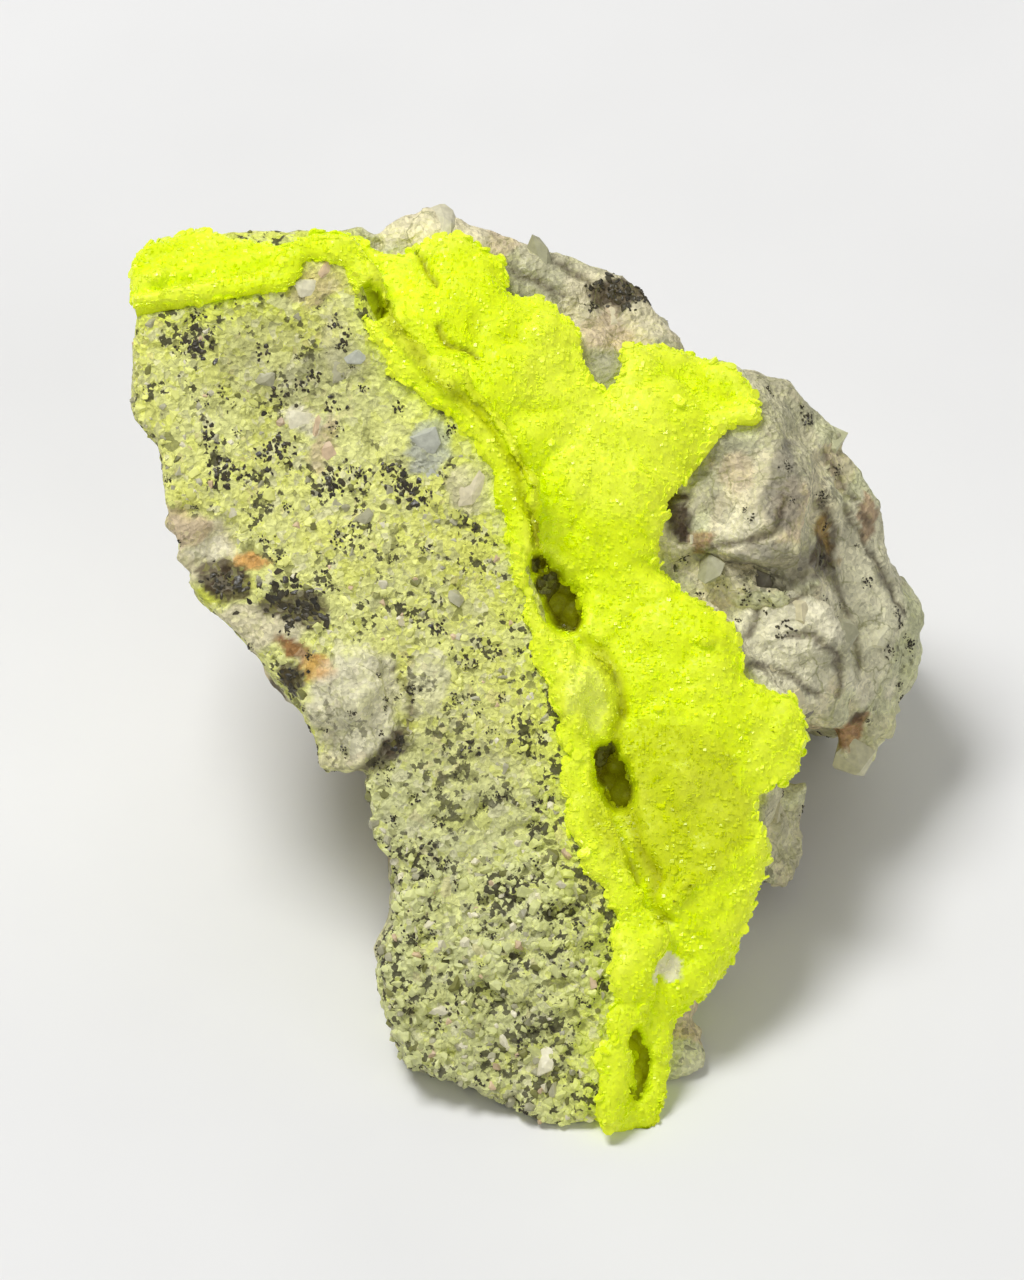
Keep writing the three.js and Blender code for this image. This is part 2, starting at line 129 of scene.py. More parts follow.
# Single large grains in the slab: mineral, across, up, half length, half width, turn in degrees
LARGE_GRAINS = (
    ("blue", -10.4, 23.2, 2.2, 1.9, 20), ("blue", -9.6, 20.4, 1.5, 1.2, 70),
    ("cream", -5.4, 18.4, 2.9, 1.2, 52), ("white", -23.2, 25.2, 1.6, 1.4, 10),
    ("pink", -21.2, 24.6, 1.5, 0.7, 80), ("pink", -20.4, 21.8, 1.3, 1.2, 30),
    ("white", -2.6, -37, 1.9, 0.8, 120), ("white", 1.6, -39, 1.9, 1.1, 75),
    ("white", -9.4, -34.2, 1.4, 0.6, 0), ("grey", -3.2, -9.4, 1.5, 1.3, 40),
    ("grey", 2.4, -42, 1.5, 1.0, 60), ("white", -13.2, -22, 1.3, 0.9, 30),
    ("grey", -18.6, 16.6, 1.2, 1.0, 0), ("grey", -16.6, 15.4, 1.5, 0.9, 40),
    ("cream", -12, 5.2, 1.6, 0.9, 15), ("grey", -7.4, 7.6, 1.4, 0.9, 100),
    ("white", -22.4, 38.4, 1.5, 1.3, 20), ("pink", -20.2, 40.2, 1.4, 1.1, 60),
    ("cream", -23.4, 40.2, 1.2, 0.9, 140), ("grey", -26.6, 28.8, 1.5, 1.0, 20),
    ("grey", -19.4, 29.6, 1.4, 1.1, 80), ("blue", -17.4, 31.2, 1.3, 1.0, 10),
)

# Coloured places of the rock: mineral, across, up, reach across and up, strength. Some are painted light
# and shade on the block: the darker grey on the knob's side and underside is painted shade, the cream
# and white on its facet and the white on the flank are partly painted light.
STAINS = (
    ("white", 26, 2.6, 5.6, 6.6, 1.0),
    # White on the flank: partly pale quartz, partly painted light where the lamps reach less
    ("white", 33.6, 7, 4.2, 11, 0.75),
    ("olive", -23, 29.5, 11, 7, 0.2),
    ("olive", -5, -37, 9, 7, 0.16),
    ("pink", -21.5, 39.5, 4.0, 3.2, 0.8),
    ("cream", -19, 33, 2.5, 3.5, 0.5),
    ("grey", -19, 29, 6, 4, 0.55),
    ("grey", -27, 30.5, 5, 4, 0.35),
    ("pale", -16, 25, 7, 5, 0.6),
    ("blue", -10, 22.3, 2.6, 2.6, 0.95),
    ("cream", -5.4, 18.4, 2.2, 3.4, 0.8),
    ("white", -23, 25.2, 1.7, 1.6, 0.9),
    ("pink", -20.8, 23, 1.4, 3.2, 0.7),
    ("cream", -33, 12.2, 4.4, 3.6, 0.9),
    ("pink", -35, 14.6, 2.6, 2.0, 0.7),
    ("white", -31.6, 12.4, 2.0, 1.6, 0.8),
    ("brown", -31, 9.6, 2.6, 1.6, 0.85),
    ("amber", -27.9, 10.6, 1.4, 1.2, 0.95),
    ("sulphur", -32.6, 6.8, 1.5, 1.2, 0.9),
    ("cream", -27.6, 4.4, 4.0, 2.4, 0.9),
    ("brown", -30.2, 8.2, 2.4, 1.6, 0.9),
    ("brown", -23.4, 6.6, 3.6, 2.0, 0.9),
    ("rust", -24, 2.2, 2.0, 1.4, 0.9),
    ("amber", -21.4, 0.6, 1.8, 1.6, 0.95),
    ("brown", -24.4, -1.4, 2.0, 1.8, 0.95),
    ("white", -17.2, -3.6, 4.8, 5.8, 0.9),
    ("grey", -18.6, -6, 1.6, 3, 0.6),
    ("cream", -18.6, -9.4, 3.6, 1.8, 0.7),
    ("brown", -13.6, -7.4, 1.5, 2.0, 0.95),
    ("white", -10.6, -1.4, 2.6, 3.4, 0.6),
    ("grey", -8, -12, 8, 8, 0.3),
    ("cream", -9.6, 43.6, 6, 3.4, 0.9),
    ("grey", 0, 39.4, 4.6, 2.2, 0.7),
    ("cream", 7, 36.2, 5, 5, 0.75),
    ("pink", 7.5, 34, 2.6, 2.2, 0.6),
    ("brown", 9, 38, 3.6, 1.7, 0.9),
    ("grey", 7.4, 29.4, 2.2, 2.4, 0.95),
    ("grey", 12.6, 33, 1.4, 1.3, 0.8),
    ("grey", 18.8, 20.6, 3.4, 3.8, 0.75),
    ("pink", 20.6, 19.6, 2.0, 1.8, 0.5),
    # The knob's lit facet: the quartz's own cream, partly painted light
    ("cream", 21.6, 15, 3.8, 3.8, 0.95),
    ("white", 21.0, 14.2, 2.0, 2.2, 0.6),
    # Darker grey on the knob's right side and underside: painted shade
    ("shaded_grey", 25.6, 18.8, 2.0, 5.4, 0.75),
    ("shaded_grey", 24.6, 10.4, 5.8, 1.9, 0.7),
    ("grey", 17.6, 12.2, 1.8, 1.4, 0.7),
    ("brown", 14.6, 15.8, 1.3, 2.4, 1.0),
    ("rust", 17, 13.4, 1.8, 1.2, 0.7),
    ("gold", 29.8, 13.6, 1.3, 2.6, 0.9),
    ("brown", 29, 11.4, 0.9, 1.6, 0.9),
    ("grey", 27, 25.6, 2.6, 1.2, 0.8),
    ("rust", 34, 15.4, 1.0, 2.2, 0.6),
    ("grey", 31, 1, 3, 1.4, 0.5),
    ("white", 33.8, -2.2, 1.6, 1.6, 0.9),
    ("rust", 32.8, -6.6, 1.4, 2.4, 0.8),
    ("brown", 32.6, -4.6, 1.2, 0.8, 0.8),
)

# Angular quartz of the block: mineral, across, up, half sizes across, up and out
QUARTZ = (
    ("grey", 15.2, 9.8, 2.6, 2.0, 1.6), ("grey", 18.4, 10.4, 2.6, 1.7, 0.7),
    # The darker grey pieces under the knob carry painted shade
    ("white", 16.6, 11.6, 2.0, 1.4, 1.4), ("shaded_grey", 23.6, 8.8, 2.8, 1.6, 1.6),
    ("shaded_grey", 26.8, 9.8, 2.0, 1.6, 1.6),
    ("white", 25.2, 5.2, 2.6, 2.0, 1.8), ("cream", 28.8, 5.2, 2.2, 2.6, 1.8),
    ("grey", 27.6, 2.2, 2.4, 1.8, 1.6), ("cream", 24.6, 1.2, 2.6, 2.0, 1.6),
    ("white", 29.6, -1.4, 2.2, 2.0, 1.8), ("grey", 31.6, 2.6, 2.0, 2.4, 1.8),
    # The darker grey piece at the block's lower edge carries painted shade
    ("white", 33.8, -2.2, 1.8, 1.8, 1.8), ("shaded_grey", 28.2, -3.4, 2.2, 1.1, 1.4),
    ("cream", 26.8, -1.6, 1.8, 1.5, 1.4), ("grey", 22.6, 5.2, 1.6, 1.6, 1.4),
    ("grey", 7.2, 29.4, 2.0, 2.2, 1.4), ("white", -9.4, 43.4, 4.0, 2.4, 2.0),
    ("grey", 0.6, 39.6, 4.0, 1.9, 1.6), ("cream", 9.0, 34.6, 3.2, 3.0, 1.6),
    ("grey", 12.8, 32.8, 1.5, 1.4, 1.2), ("grey", 26.0, -17.0, 2.4, 3.0, 2.2),
    ("grey", 15.8, -38.0, 1.7, 2.2, 1.6), ("white", 16.6, -36.0, 1.2, 1.5, 1.2),
)

# Lines on the crust: the groove beside the slab, and two cracks
GROOVE = (
    (-15.8, 37), (-13.5, 34), (-10, 29.8), (-6.5, 26.5), (-3.3, 23.5), (-1.5, 20), (-0.2, 15),
    (1, 10), (3, 6), (6, 2), (9.2, -2), (8.5, -6.5), (8.2, -10.5), (10.2, -16), (12, -21), (13, -25),
)
CRACKS = (((-11.4, 41.4), (-8.8, 38.4)), ((-9, 35), (-5.2, 31)))

# Coloured places of the crust, given as for the rock
CRUST_STAINS = (
    ("lemon", 6.0, -2.4, 3.0, 4.8, 0.9),
    ("pale", 5.6, -2.8, 2.0, 3.4, 0.25),
    ("moss", 14, -14, 8, 9, 0.4),
    ("neon", 12, -38, 6, 9, 0.6),
    ("white", 14.2, -30.5, 1.6, 1.3, 0.9),
    ("lemon", 25, -7, 3.4, 4.8, 0.45),
    ("lemon", 9, 22, 7, 7, 0.7),
    ("lemon", 3, 30, 4, 4, 0.6),
)

# Dark seams of the rock, real cracks and creases where shade is painted brown: half width and places on
# the face
SEAMS_AND_SHADED_CREASES = (
    (0.25, ((-13.6, 0.2), (-12.4, -2), (-11.8, -4.7))),
    (0.9, ((-12.2, -5.4), (-13.4, -7.8), (-16.9, -10.4))),
    (0.3, ((18.0, 12.2), (21.5, 12.6), (24.6, 14.2), (25.4, 17.4))),
    (0.3, ((21.2, 8.6), (23.0, 6.4), (21.8, 3.4))),
    (0.25, ((23.4, 7.4), (26.4, 7.0), (28.6, 8.4))),
    (0.3, ((25.8, 3.4), (28.4, 3.6), (30.8, 1.4), (31.0, -2.6))),
    (0.25, ((22.2, 0.6), (26.0, -0.4), (28.8, -2.6))),
    (0.3, ((30.4, 9.4), (32.6, 4.4), (33.2, 0.4))),
    (0.25, ((31.8, 16.4), (34.6, 11.2), (37.4, 6.0))),
    (0.25, ((29.6, 21.8), (32.6, 17.4), (34.0, 14.8))),
    (0.5, ((29.0, 16.8), (30.8, 14.2), (30.2, 10.8), (29.0, 9.8))),
    (0.3, ((2.2, 41.2), (6.2, 38.8), (9.4, 36.0))),
    (0.25, ((-6.4, 41.8), (-2.2, 40.4), (3.4, 37.6))),
)

# Larger clusters of dark mica on the rock: across, up, size
MICA_SPOTS = (
    (-33.2, 32.6, 1.9), (-35, 32, 0.8), (-33.4, 35.4, 1.0), (-26.8, 31.6, 1.4), (-18.6, 33, 1.3),
    (-31, 27.9, 0.7), (-32.4, 26.8, 0.7), (-21.6, 29.4, 1.0), (-22.8, 28.2, 1.0),
    (-25, 27.4, 1.4), (-20.1, 26.4, 1.4), (-32, 23.3, 1.5), (-26, 21.6, 1.6), (-24.8, 22.6, 1.4),
    (-30.5, 19.6, 1.8), (-28.4, 19.6, 1.1), (-19.6, 18.8, 2.0), (-17.6, 20.0, 1.4),
    (-17.2, 17.8, 0.9), (-14, 20.2, 1.2), (-12.2, 18, 1.9), (-10.2, 17.0, 1.0), (-18.6, 12.6, 1.2),
    (-8, 23.7, 0.8), (-13, 26.1, 0.8), (-26.8, 12.9, 0.8), (-5.6, 14, 0.9), (-20.4, 9.8, 0.9),
    (-31.4, 9.0, 1.8), (-29, 8.4, 2.2), (-24.8, 7.2, 2.6), (-22.2, 6.4, 2.4), (-24, 5.2, 1.8),
    (-24, -1.2, 1.8), (-13.6, -7.2, 1.4), (-15.4, -9.4, 0.9), (-18.6, -8.0, 0.7),
    (-9, 4, 1.2), (-3.4, 1.6, 1.0), (-12, -2, 1.1), (-6, -8, 1.2), (-10, -18, 1.4), (-2, -22, 1.3),
    (3, -30, 1.2), (-8, -34, 1.4), (1, -14, 1.0), (-1, -38, 1.2),
    (7, 38.4, 1.6), (9, 38.2, 2.2), (11, 37.2, 1.9), (6.2, 36.6, 0.9), (28, 25.4, 1.2),
    (34, 9, 1.0), (37.4, 5, 1.0), (38.4, 2.6, 0.8), (36.4, 1.6, 0.8), (25.6, 4, 1.2), (23.8, 6.6, 1.0),
)

# The fine skins: voxel width, and rounds of smoothing
ROCK_VOXEL = 0.54
ROCK_SMOOTHED = 2
CRUST_VOXEL = 0.4
CRUST_SMOOTHED = 14

# Relief of the slab: width or wave length, and height
SLAB_SWELL = (2.7, 0.28)
SLAB_GRAIN = (1.5, 0.34)
SLAB_RIPPLE = (0.9, 0.12)
SLAB_PITS = (2.0, 0.45)
SLAB_ROUGHER = 1.1
SLAB_CALM_NEAR_CRUST = (0.5, 2.5)
QUARTZ_FACE_HEIGHT = 1.8
QUARTZ_FACE_EDGE = (0.8, 1.1)

# Relief of the block: lift, then width or wave length, and height
BLOCK_LIFT = 0.5
BLOCK_FACETS = ((8, 1.6), (3.6, 0.7))
BLOCK_RIPPLE = (1.2, 0.15)
SEAM_DEPTH = 0.3
FACET_TURN = np.array(Euler((0.6, 0.35, 0.5)).to_matrix())

# Tones of the rock: lumps of one mineral in the block, the green flank, the yellow beside the crust
BLOCK_KINDS = ("grey", "cream", "white", "green", "cream", "grey", "pink", "grey")
BLOCK_LUMP = 5.5
BLOCK_EVEN = 0.5
BLOCK_BRIGHT = 1.12
FLANK_ACROSS = (29, 34)
FLANK_GREEN = 0.6
LOW_SLAB_GREEN = 0.55
YELLOWED_SHARE = 0.7
YELLOWED_REACH = 3.2
# How dark the seams are painted: real cracks, and painted shade in the creases
SEAM_AND_SHADE_DARKNESS = 0.75
STAIN_EDGE = (0.86, 1.06)

# Small grains that stand out of the slab: shares of minerals, number and size
GRAIN_KINDS = (("grey", 0.40), ("white", 0.24), ("olive", 0.22), ("pink", 0.14))
GRAIN_OF_PLACE = 0.78
GRAIN_COUNT = 1700
GRAIN_RADIUS = (0.3, 0.9)
GRAIN_PROUD = 0.22
GRAIN_CLEAR_OF_CRUST = 1.2
LARGE_GRAIN_OUT = 0.6
LARGE_GRAIN_SUNK = 0.32

# How the angular quartz sits: shares of its size sunk in the rock, and the scatter behind
QUARTZ_SUNK = 0.92
QUARTZ_DIM = 0.88
QUARTZ_SCATTER = 360
QUARTZ_SCATTER_BEHIND = -17
QUARTZ_SCATTER_SUNK = 0.84
QUARTZ_RADIUS = (0.9, 2.8)
QUARTZ_CLEAR_OF_CRUST = 2.5
QUARTZ_LOWEST = 4 * MM

# Small clusters of mica: their number, size, flakes in each, and a flake's share of the size
MICA_CLUSTERS = 480
MICA_CLUSTER_SIZE = (0.3, 0.9)
MICA_CHIPS = (8, 20)
MICA_SPREAD = 0.45
MICA_FLAKE = (0.1, 0.27)
MICA_THICKNESS = 0.12
MICA_CLEAR_OF_CRUST = 1.5

# The crust: how it roots in the rock, its lowest places in the frame and the strip on the slab
CRUST_SINK = 0.8
CRUST_DRAWN = 2.2
CRUST_LOWEST = 0.1 * MM
LINING_LOWEST = 0.3 * MM
TABLET_LOWEST = 0.8 * MM
CRUST_CALM = 0.45
CRUST_UNDERSIDE = (0.9, 1.5)
STRIP_COVER = 0.5
STRIP_PRESSED = 0.9
STRIP_CALM = 0.7
STRIP_FOOT = (-29, -25)
SLAB_LEVEL = 0.3

# Relief of the crust: width or wave length, and height
CRUST_LIFT = 0.4
BIG_DOMES = (5.0, 0.6)
SMALL_DOMES = (1.9, 0.3)
TINY_DOMES = (0.8, 0.1)
CRUST_RIDGES = (2.4, 0.25)
CRUST_BEND = (3.5, 1.5)
GROOVE_WIDTH = (0.2, 1.3)
CRACK_WIDTH = (0.1, 0.6)
GROOVE_DEPTH = 0.7
LINING_KNOBS = (1.3, 0.22)
LINING_SWELL = (1.7, 0.12)

# The rosette on the strip: place, reach, height and petals
ROSETTE = (5.8, -2.4)
ROSETTE_REACH = (1.5, 5.0)
ROSETTE_HEIGHT = 1.3
ROSETTE_PETALS = 34
PETAL_HEIGHT = 0.22
CRINKLES = (0.9, 0.4)

# Crystals on the crust: number, sides, half thickness, radius, and lift as a share of it
DRUSE = (9000, 4, 0.2, (0.12, 0.3), 0.05)
TABLETS = (600, 8, 0.22, (0.2, 0.65), 0.1)

# The studio: floor width, sky, and each light's name, place, width and power
FLOOR_WIDTH = 6
SKY_COLOUR = (1.0, 0.99, 0.97, 1)
SKY_STRENGTH = 0.28
LIGHTS = (
    ("key", (-0.32, 0.05, 0.95), 0.35, 7.2),
    ("fill", (0.5, -0.8, 0.6), 0.8, 1.9),
    ("back", (0.2, 0.8, 0.5), 0.6, 1.0),
)


def linear(name):
    """A mineral's colour in scene linear light."""
    shade = np.array(MINERALS[name]) / 255
    return np.where(shade <= 0.04045, shade / 12.92, ((shade + 0.055) / 1.055) ** 2.4)


def to_face(points):
    """Points of the frame as millimetres on the display face."""
    return (points - FACE_CENTRE) @ FACE_AXES.T / MM


def to_frame(points):
    """Millimetres on the display face as points of the frame."""
    return np.asarray(points) * MM @ FACE_AXES + FACE_CENTRE


def above_base(points, lowest):
    """Points on the display face, raised where they lie lower than this height of the frame."""
    raised = to_frame(points)
    raised[:, 2] = np.maximum(raised[:, 2], lowest)
    return to_face(raised)


def eased(values, low, high):
    """A smooth step from 0 at low to 1 at high."""
    share = np.clip((values - low) / (high - low), 0, 1)
    return share * share * (3 - 2 * share)


def waves(points, length, offset=0.0):
    """Smooth noise from -1 to 1, with waves of about this length."""
    return np.array([noise.noise(Vector(place)) for place in points / length + offset])


def cells(points, width):
    """For cells of about this width: the distance to the nearest middle, and that middle."""
    found = [noise.voronoi(Vector(place)) for place in points / width]
    distance = np.array([distances[0] for distances, middles in found])
    middle = np.array([middles[0] for distances, middles in found])
    return distance, middle


def facets(points, width):
    """Heights from about -0.5 to 0.5 of flat facets of this width, as on broken quartz."""
    turned = points @ FACET_TURN / width
    found = [noise.voronoi(Vector(place), distance_metric="MANHATTAN") for place in turned]
    return 0.55 - np.array([distances[0] for distances, middles in found])


def from_oval(points, across, up, reach_across, reach_up):
    """How far each point is from an oval's middle on the face: 1 at its rim."""
    return np.hypot((points[:, 0] - across) / reach_across, (points[:, 1] - up) / reach_up)


def hollow_depth(points):
    """How far inside an open hollow each point is, and that hollow's floor.

    The first is 1 on a hollow's axis, 0 at its rim and below 0 outside.
    """
    depth = np.full(len(points), -np.inf)
    floor = np.zeros(len(points))
    uneven = points[:, :2] + 0.5 * np.stack((waves(points, 2.2, 1.1), waves(points, 2.2, 8.3)), axis=1)
    for *oval, lowest in HOLLOWS:
        away = from_oval(uneven, *oval)
        nearer = 1 - away > depth
        depth[nearer] = 1 - away[nearer]
        floor[nearer] = lowest
    return depth, floor


def near_path(points, path):
    """Distance on the face from each point to a line through the places of a path."""
    nearest = np.full(len(points), np.inf)
    for start, end in zip(np.array(path[:-1]), np.array(path[1:])):
        along = end - start
        share = np.clip((points[:, :2] - start) @ along / (along @ along), 0, 1)
        gap = points[:, :2] - start - share[:, None] * along
        nearest = np.minimum(nearest, np.hypot(gap[:, 0], gap[:, 1]))
    return nearest


def seam_share(points):
    """How far inside a seam or shaded crease each point is: 1 on its line, 0 at its edge and outside."""
    ragged = points + 0.5 * np.stack([waves(points, 1.6, shift) for shift in (5.1, 7.9, 2.7)], axis=1)
    share = np.zeros(len(points))
    for half_width, path in SEAMS_AND_SHADED_CREASES:
        share = np.maximum(share, 1 - eased(near_path(ragged, path), 0.4 * half_width, half_width + 0.3))
    return share


def blended(tone, mineral, share):
    """Tones with a mineral's colour laid over each by its share."""
    return tone * (1 - share[:, None]) + linear(mineral) * share[:, None]


def stained(tone, points, stains, reach):
    """Tones with stains laid over them where reach allows, and how much of each point they cover."""
    ragged = points[:, :2] + 0.8 * np.stack((waves(points, 1.4), waves(points, 1.4, 9.1)), axis=1)
    ragged += 1.6 * np.stack((waves(points, 4.4, 2.2), waves(points, 4.4, 6.3)), axis=1)
    covered = np.zeros(len(points))
    for mineral, *oval, strength in stains:
        share = strength * (1 - eased(from_oval(ragged, *oval), *STAIN_EDGE)) * reach
        tone = blended(tone, mineral, share)
        covered = np.maximum(covered, share)
    return tone, covered


def unit(vectors):
    """Vectors of length 1 in the same directions."""
    return vectors / np.maximum(np.linalg.norm(vectors, axis=-1, keepdims=True), 1e-9)


def relaxed(values, edges, rounds):
    """Values at the ends of edges, each moved halfway to the mean of its neighbours, so often."""
    count = len(values)
    links = np.bincount(edges.ravel(), minlength=count)
    for _ in range(rounds):
        total = np.zeros_like(values)
        for axis in range(values.shape[1]):
            total[:, axis] += np.bincount(edges[:, 0], values[edges[:, 1], axis], count)
            total[:, axis] += np.bincount(edges[:, 1], values[edges[:, 0], axis], count)
        values = (values + total / np.maximum(links, 1)[:, None]) / 2
    return values


def read(items, field, width, kind=float):
    """A field of mesh items as an array with so many columns."""
    values = np.empty(len(items) * width, dtype=kind)
    items.foreach_get(field, values)
    return values.reshape(-1, width)


def colour_points(mesh, colours):
    """Keeps a colour for each point of a mesh as its tone."""
    layer = mesh.attributes.new("tone", "FLOAT_COLOR", "POINT")
    rgba = np.ones((len(colours), 4))
    rgba[:, :3] = colours
    layer.data.foreach_set("color", rgba.ravel())


class Skin:
    """A finely divided copy of a node, in millimetres on the display face."""

    def __init__(self, name, node, voxel):
        source = bpy.data.objects.new(name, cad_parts[node].data.copy())
        bpy.context.scene.collection.objects.link(source)
        remesh = source.modifiers.new("fine", "REMESH")
        remesh.mode = "VOXEL"
        remesh.voxel_size = voxel * MM
        remesh.use_smooth_shade = True
        evaluated = source.evaluated_get(bpy.context.evaluated_depsgraph_get())
        mesh = bpy.data.meshes.new_from_object(evaluated)
        mesh.name = name
        source.modifiers.clear()
        source.data = mesh
        self.piece = source
        self.mesh = mesh
        self.mesh.materials.clear()
        self.points = to_face(read(mesh.vertices, "co", 3))
        self.edges = read(mesh.edges, "vertices", 2, np.int32)
        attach(source, "root")
        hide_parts(node)

    def place(self):
        """Writes the points to the mesh."""
        self.mesh.vertices.foreach_set("co", to_frame(self.points).ravel())
        self.mesh.update()

    def normals(self):
        """Directions out of the surface, on the display face's axes."""
        self.place()
        return read(self.mesh.vertices, "normal", 3) @ FACE_AXES.T

    def push(self, heights):
        """Moves each point out of the surface by its height."""
        self.points = self.points + self.normals() * heights[:, None]
        self.place()

    def mark(self, name, values):
        """A number for each point, under this name."""
        layer = self.mesh.attributes.new(name, "FLOAT", "POINT")
        layer.data.foreach_set("value", np.ascontiguousarray(values, dtype=float))

    def tree(self):
        """The surface as it is now, for rays and nearest points."""
        triangles = [tuple(polygon.vertices) for polygon in self.mesh.polygons]
        return BVHTree.FromPolygons([Vector(place) for place in self.points], triangles)


def joined_piece(name, points, triangles, colours, material, slot):
    """One mesh of many small bodies, with a colour for each point."""
    mesh = bpy.data.meshes.new(name)
    mesh.from_pydata(to_frame(points), [], triangles)
    colour_points(mesh, colours)
    mesh.materials.append(material)
    piece = bpy.data.objects.new(name, mesh)
    bpy.context.scene.collection.objects.link(piece)
    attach(piece, "root")


def random_turns(count):
    """Evenly spread random rotations, as matrices."""
    spins = unit(draw.normal(size=(count, 4)))
    w, x, y, z = spins.T
    rows = (
        (1 - 2 * (y * y + z * z), 2 * (x * y - w * z), 2 * (x * z + w * y)),
        (2 * (x * y + w * z), 1 - 2 * (x * x + z * z), 2 * (y * z - w * x)),
        (2 * (x * z - w * y), 2 * (y * z + w * x), 1 - 2 * (x * x + y * y)),
    )
    return np.moveaxis(np.array(rows), 2, 0)


def axes_along(normals):
    """For each direction, a matrix whose columns are two directions across it and itself."""
    helper = np.where(np.abs(normals[:, :1]) < 0.8, (1.0, 0, 0), (0, 1.0, 0))
    side = unit(np.cross(helper, normals))
    return np.stack((side, np.cross(normals, side), normals), axis=2)


def chip_shapes(count, corners):
    """Flat-faced random grains: their corners and triangles."""
    shapes = []
    for _ in range(count):
        body = bmesh.new()
        for place in unit(draw.normal(size=(corners, 3))):
            body.verts.new(place)
        bmesh.ops.convex_hull(body, input=body.verts)
        bmesh.ops.triangulate(body, faces=body.faces)
        body.verts.index_update()
        points = np.array([vertex.co for vertex in body.verts])
        triangles = np.array([[vertex.index for vertex in face.verts] for face in body.faces])
        body.free()
        shapes.append((points, triangles))
    return shapes


def scattered(shapes, places, turns, sizes, colours):
    """Copies of shapes, each turned, sized and placed, as points, triangles and point colours."""
    all_points, all_triangles, all_colours = [], [], []
    start = 0
    for index, place in enumerate(places):
        points, triangles = shapes[index % len(shapes)]
        all_points.append((points * sizes[index]) @ turns[index].T + place)
        all_triangles.append(triangles + start)
        all_colours.append(np.repeat(colours[index][None, :], len(points), axis=0))
        start += len(points)
    return np.concatenate(all_points), np.concatenate(all_triangles), np.concatenate(all_colours)


def on_surface(tree, across, up):
    """Where a line straight at the display face meets a surface, and the direction out of it."""
    place, normal, _, _ = tree.ray_cast(Vector((across, up, 60)), Vector((0, 0, -1)))
    return place, normal


# Materials

class Shader:
    """A material's nodes, added one by one."""

    def __init__(self, name):
        self.material = bpy.data.materials.new(name)
        self.material.use_nodes = True
        self.nodes = self.material.node_tree.nodes
        self.links = self.material.node_tree.links
        self.surface = self.nodes["Principled BSDF"]

    def link(self, source, target):
        self.links.new(source, target)

    def set(self, **values):
        """Plain values on the surface's own sockets; underscores in names stand for spaces."""
        for name, value in values.items():
            self.surface.inputs[name.replace("_", " ")].default_value = value

    def attribute(self, name):
        node = self.nodes.new("ShaderNodeAttribute")
        node.attribute_name = name
        return node

    def place(self):
        return self.nodes.new("ShaderNodeTexCoord").outputs["Object"]

    def noise(self, place, size, detail=3.0):
        """Soft noise with features of this size in metres."""
        node = self.nodes.new("ShaderNodeTexNoise")
        node.inputs["Scale"].default_value = 1 / size
        node.inputs["Detail"].default_value = detail
        self.link(place, node.inputs["Vector"])
        return node

    def cells(self, place, size, feature="F1"):
        """Random cells of about this size in metres."""
        node = self.nodes.new("ShaderNodeTexVoronoi")
        node.feature = feature
        node.inputs["Scale"].default_value = 1 / size
        self.link(place, node.inputs["Vector"])
        return node

    def math(self, kind, first, second, clamp=False):
        node = self.nodes.new("ShaderNodeMath")
        node.operation = kind
        node.use_clamp = clamp
        for socket, value in zip(node.inputs, (first, second)):
            self.fill(socket, value)
        return node.outputs[0]

    def fill(self, socket, value):
        if isinstance(value, bpy.types.NodeSocket):
            self.link(value, socket)
        else:
            socket.default_value = value

    def spread(self, value, low, high, out_low, out_high):
        """A value's range moved to another, and held inside it."""
        node = self.nodes.new("ShaderNodeMapRange")
        for socket, entry in zip(node.inputs, (value, low, high, out_low, out_high)):
            self.fill(socket, entry)
        return node.outputs[0]

    def mix(self, share, first, second, blend="MIX"):
        node = self.nodes.new("ShaderNodeMix")
        node.data_type = "RGBA"
        node.blend_type = blend
        self.fill(node.inputs[0], share)
        self.fill(node.inputs[6], first)
        self.fill(node.inputs[7], second)
        return node.outputs[2]

    def ragged(self, place, size, amount):
        """A place moved about by noise, so that edges drawn from it are uneven."""
        moved = self.nodes.new("ShaderNodeVectorMath")
        moved.operation = "MULTIPLY_ADD"
        self.link(self.noise(place, size).outputs["Color"], moved.inputs[0])
        moved.inputs[1].default_value = (amount, amount, amount)
        self.link(place, moved.inputs[2])
        return moved.outputs[0]

    def channel(self, colour, index):
        node = self.nodes.new("ShaderNodeSeparateColor")
        self.link(colour, node.inputs[0])
        return node.outputs[index]

    def ramp(self, value, stops, interpolation="LINEAR"):
        node = self.nodes.new("ShaderNodeValToRGB")
        ramp = node.color_ramp
        ramp.interpolation = interpolation
        while len(ramp.elements) < len(stops):
            ramp.elements.new(1.0)
        for element, (position, colour) in zip(ramp.elements, stops):
            element.position = position
            element.color = colour
        self.link(value, node.inputs[0])
        return node

    def bump(self, height, distance, strength, under=None):
        node = self.nodes.new("ShaderNodeBump")
        node.inputs["Distance"].default_value = distance
        node.inputs["Strength"].default_value = strength
        self.link(height, node.inputs["Height"])
        if under is not None:
            self.link(under, node.inputs["Normal"])
        return node.outputs[0]


def see_through(name, alpha):
    """A mineral's colour with a share that a ramp hands on as alpha."""
    return (*linear(name), alpha)


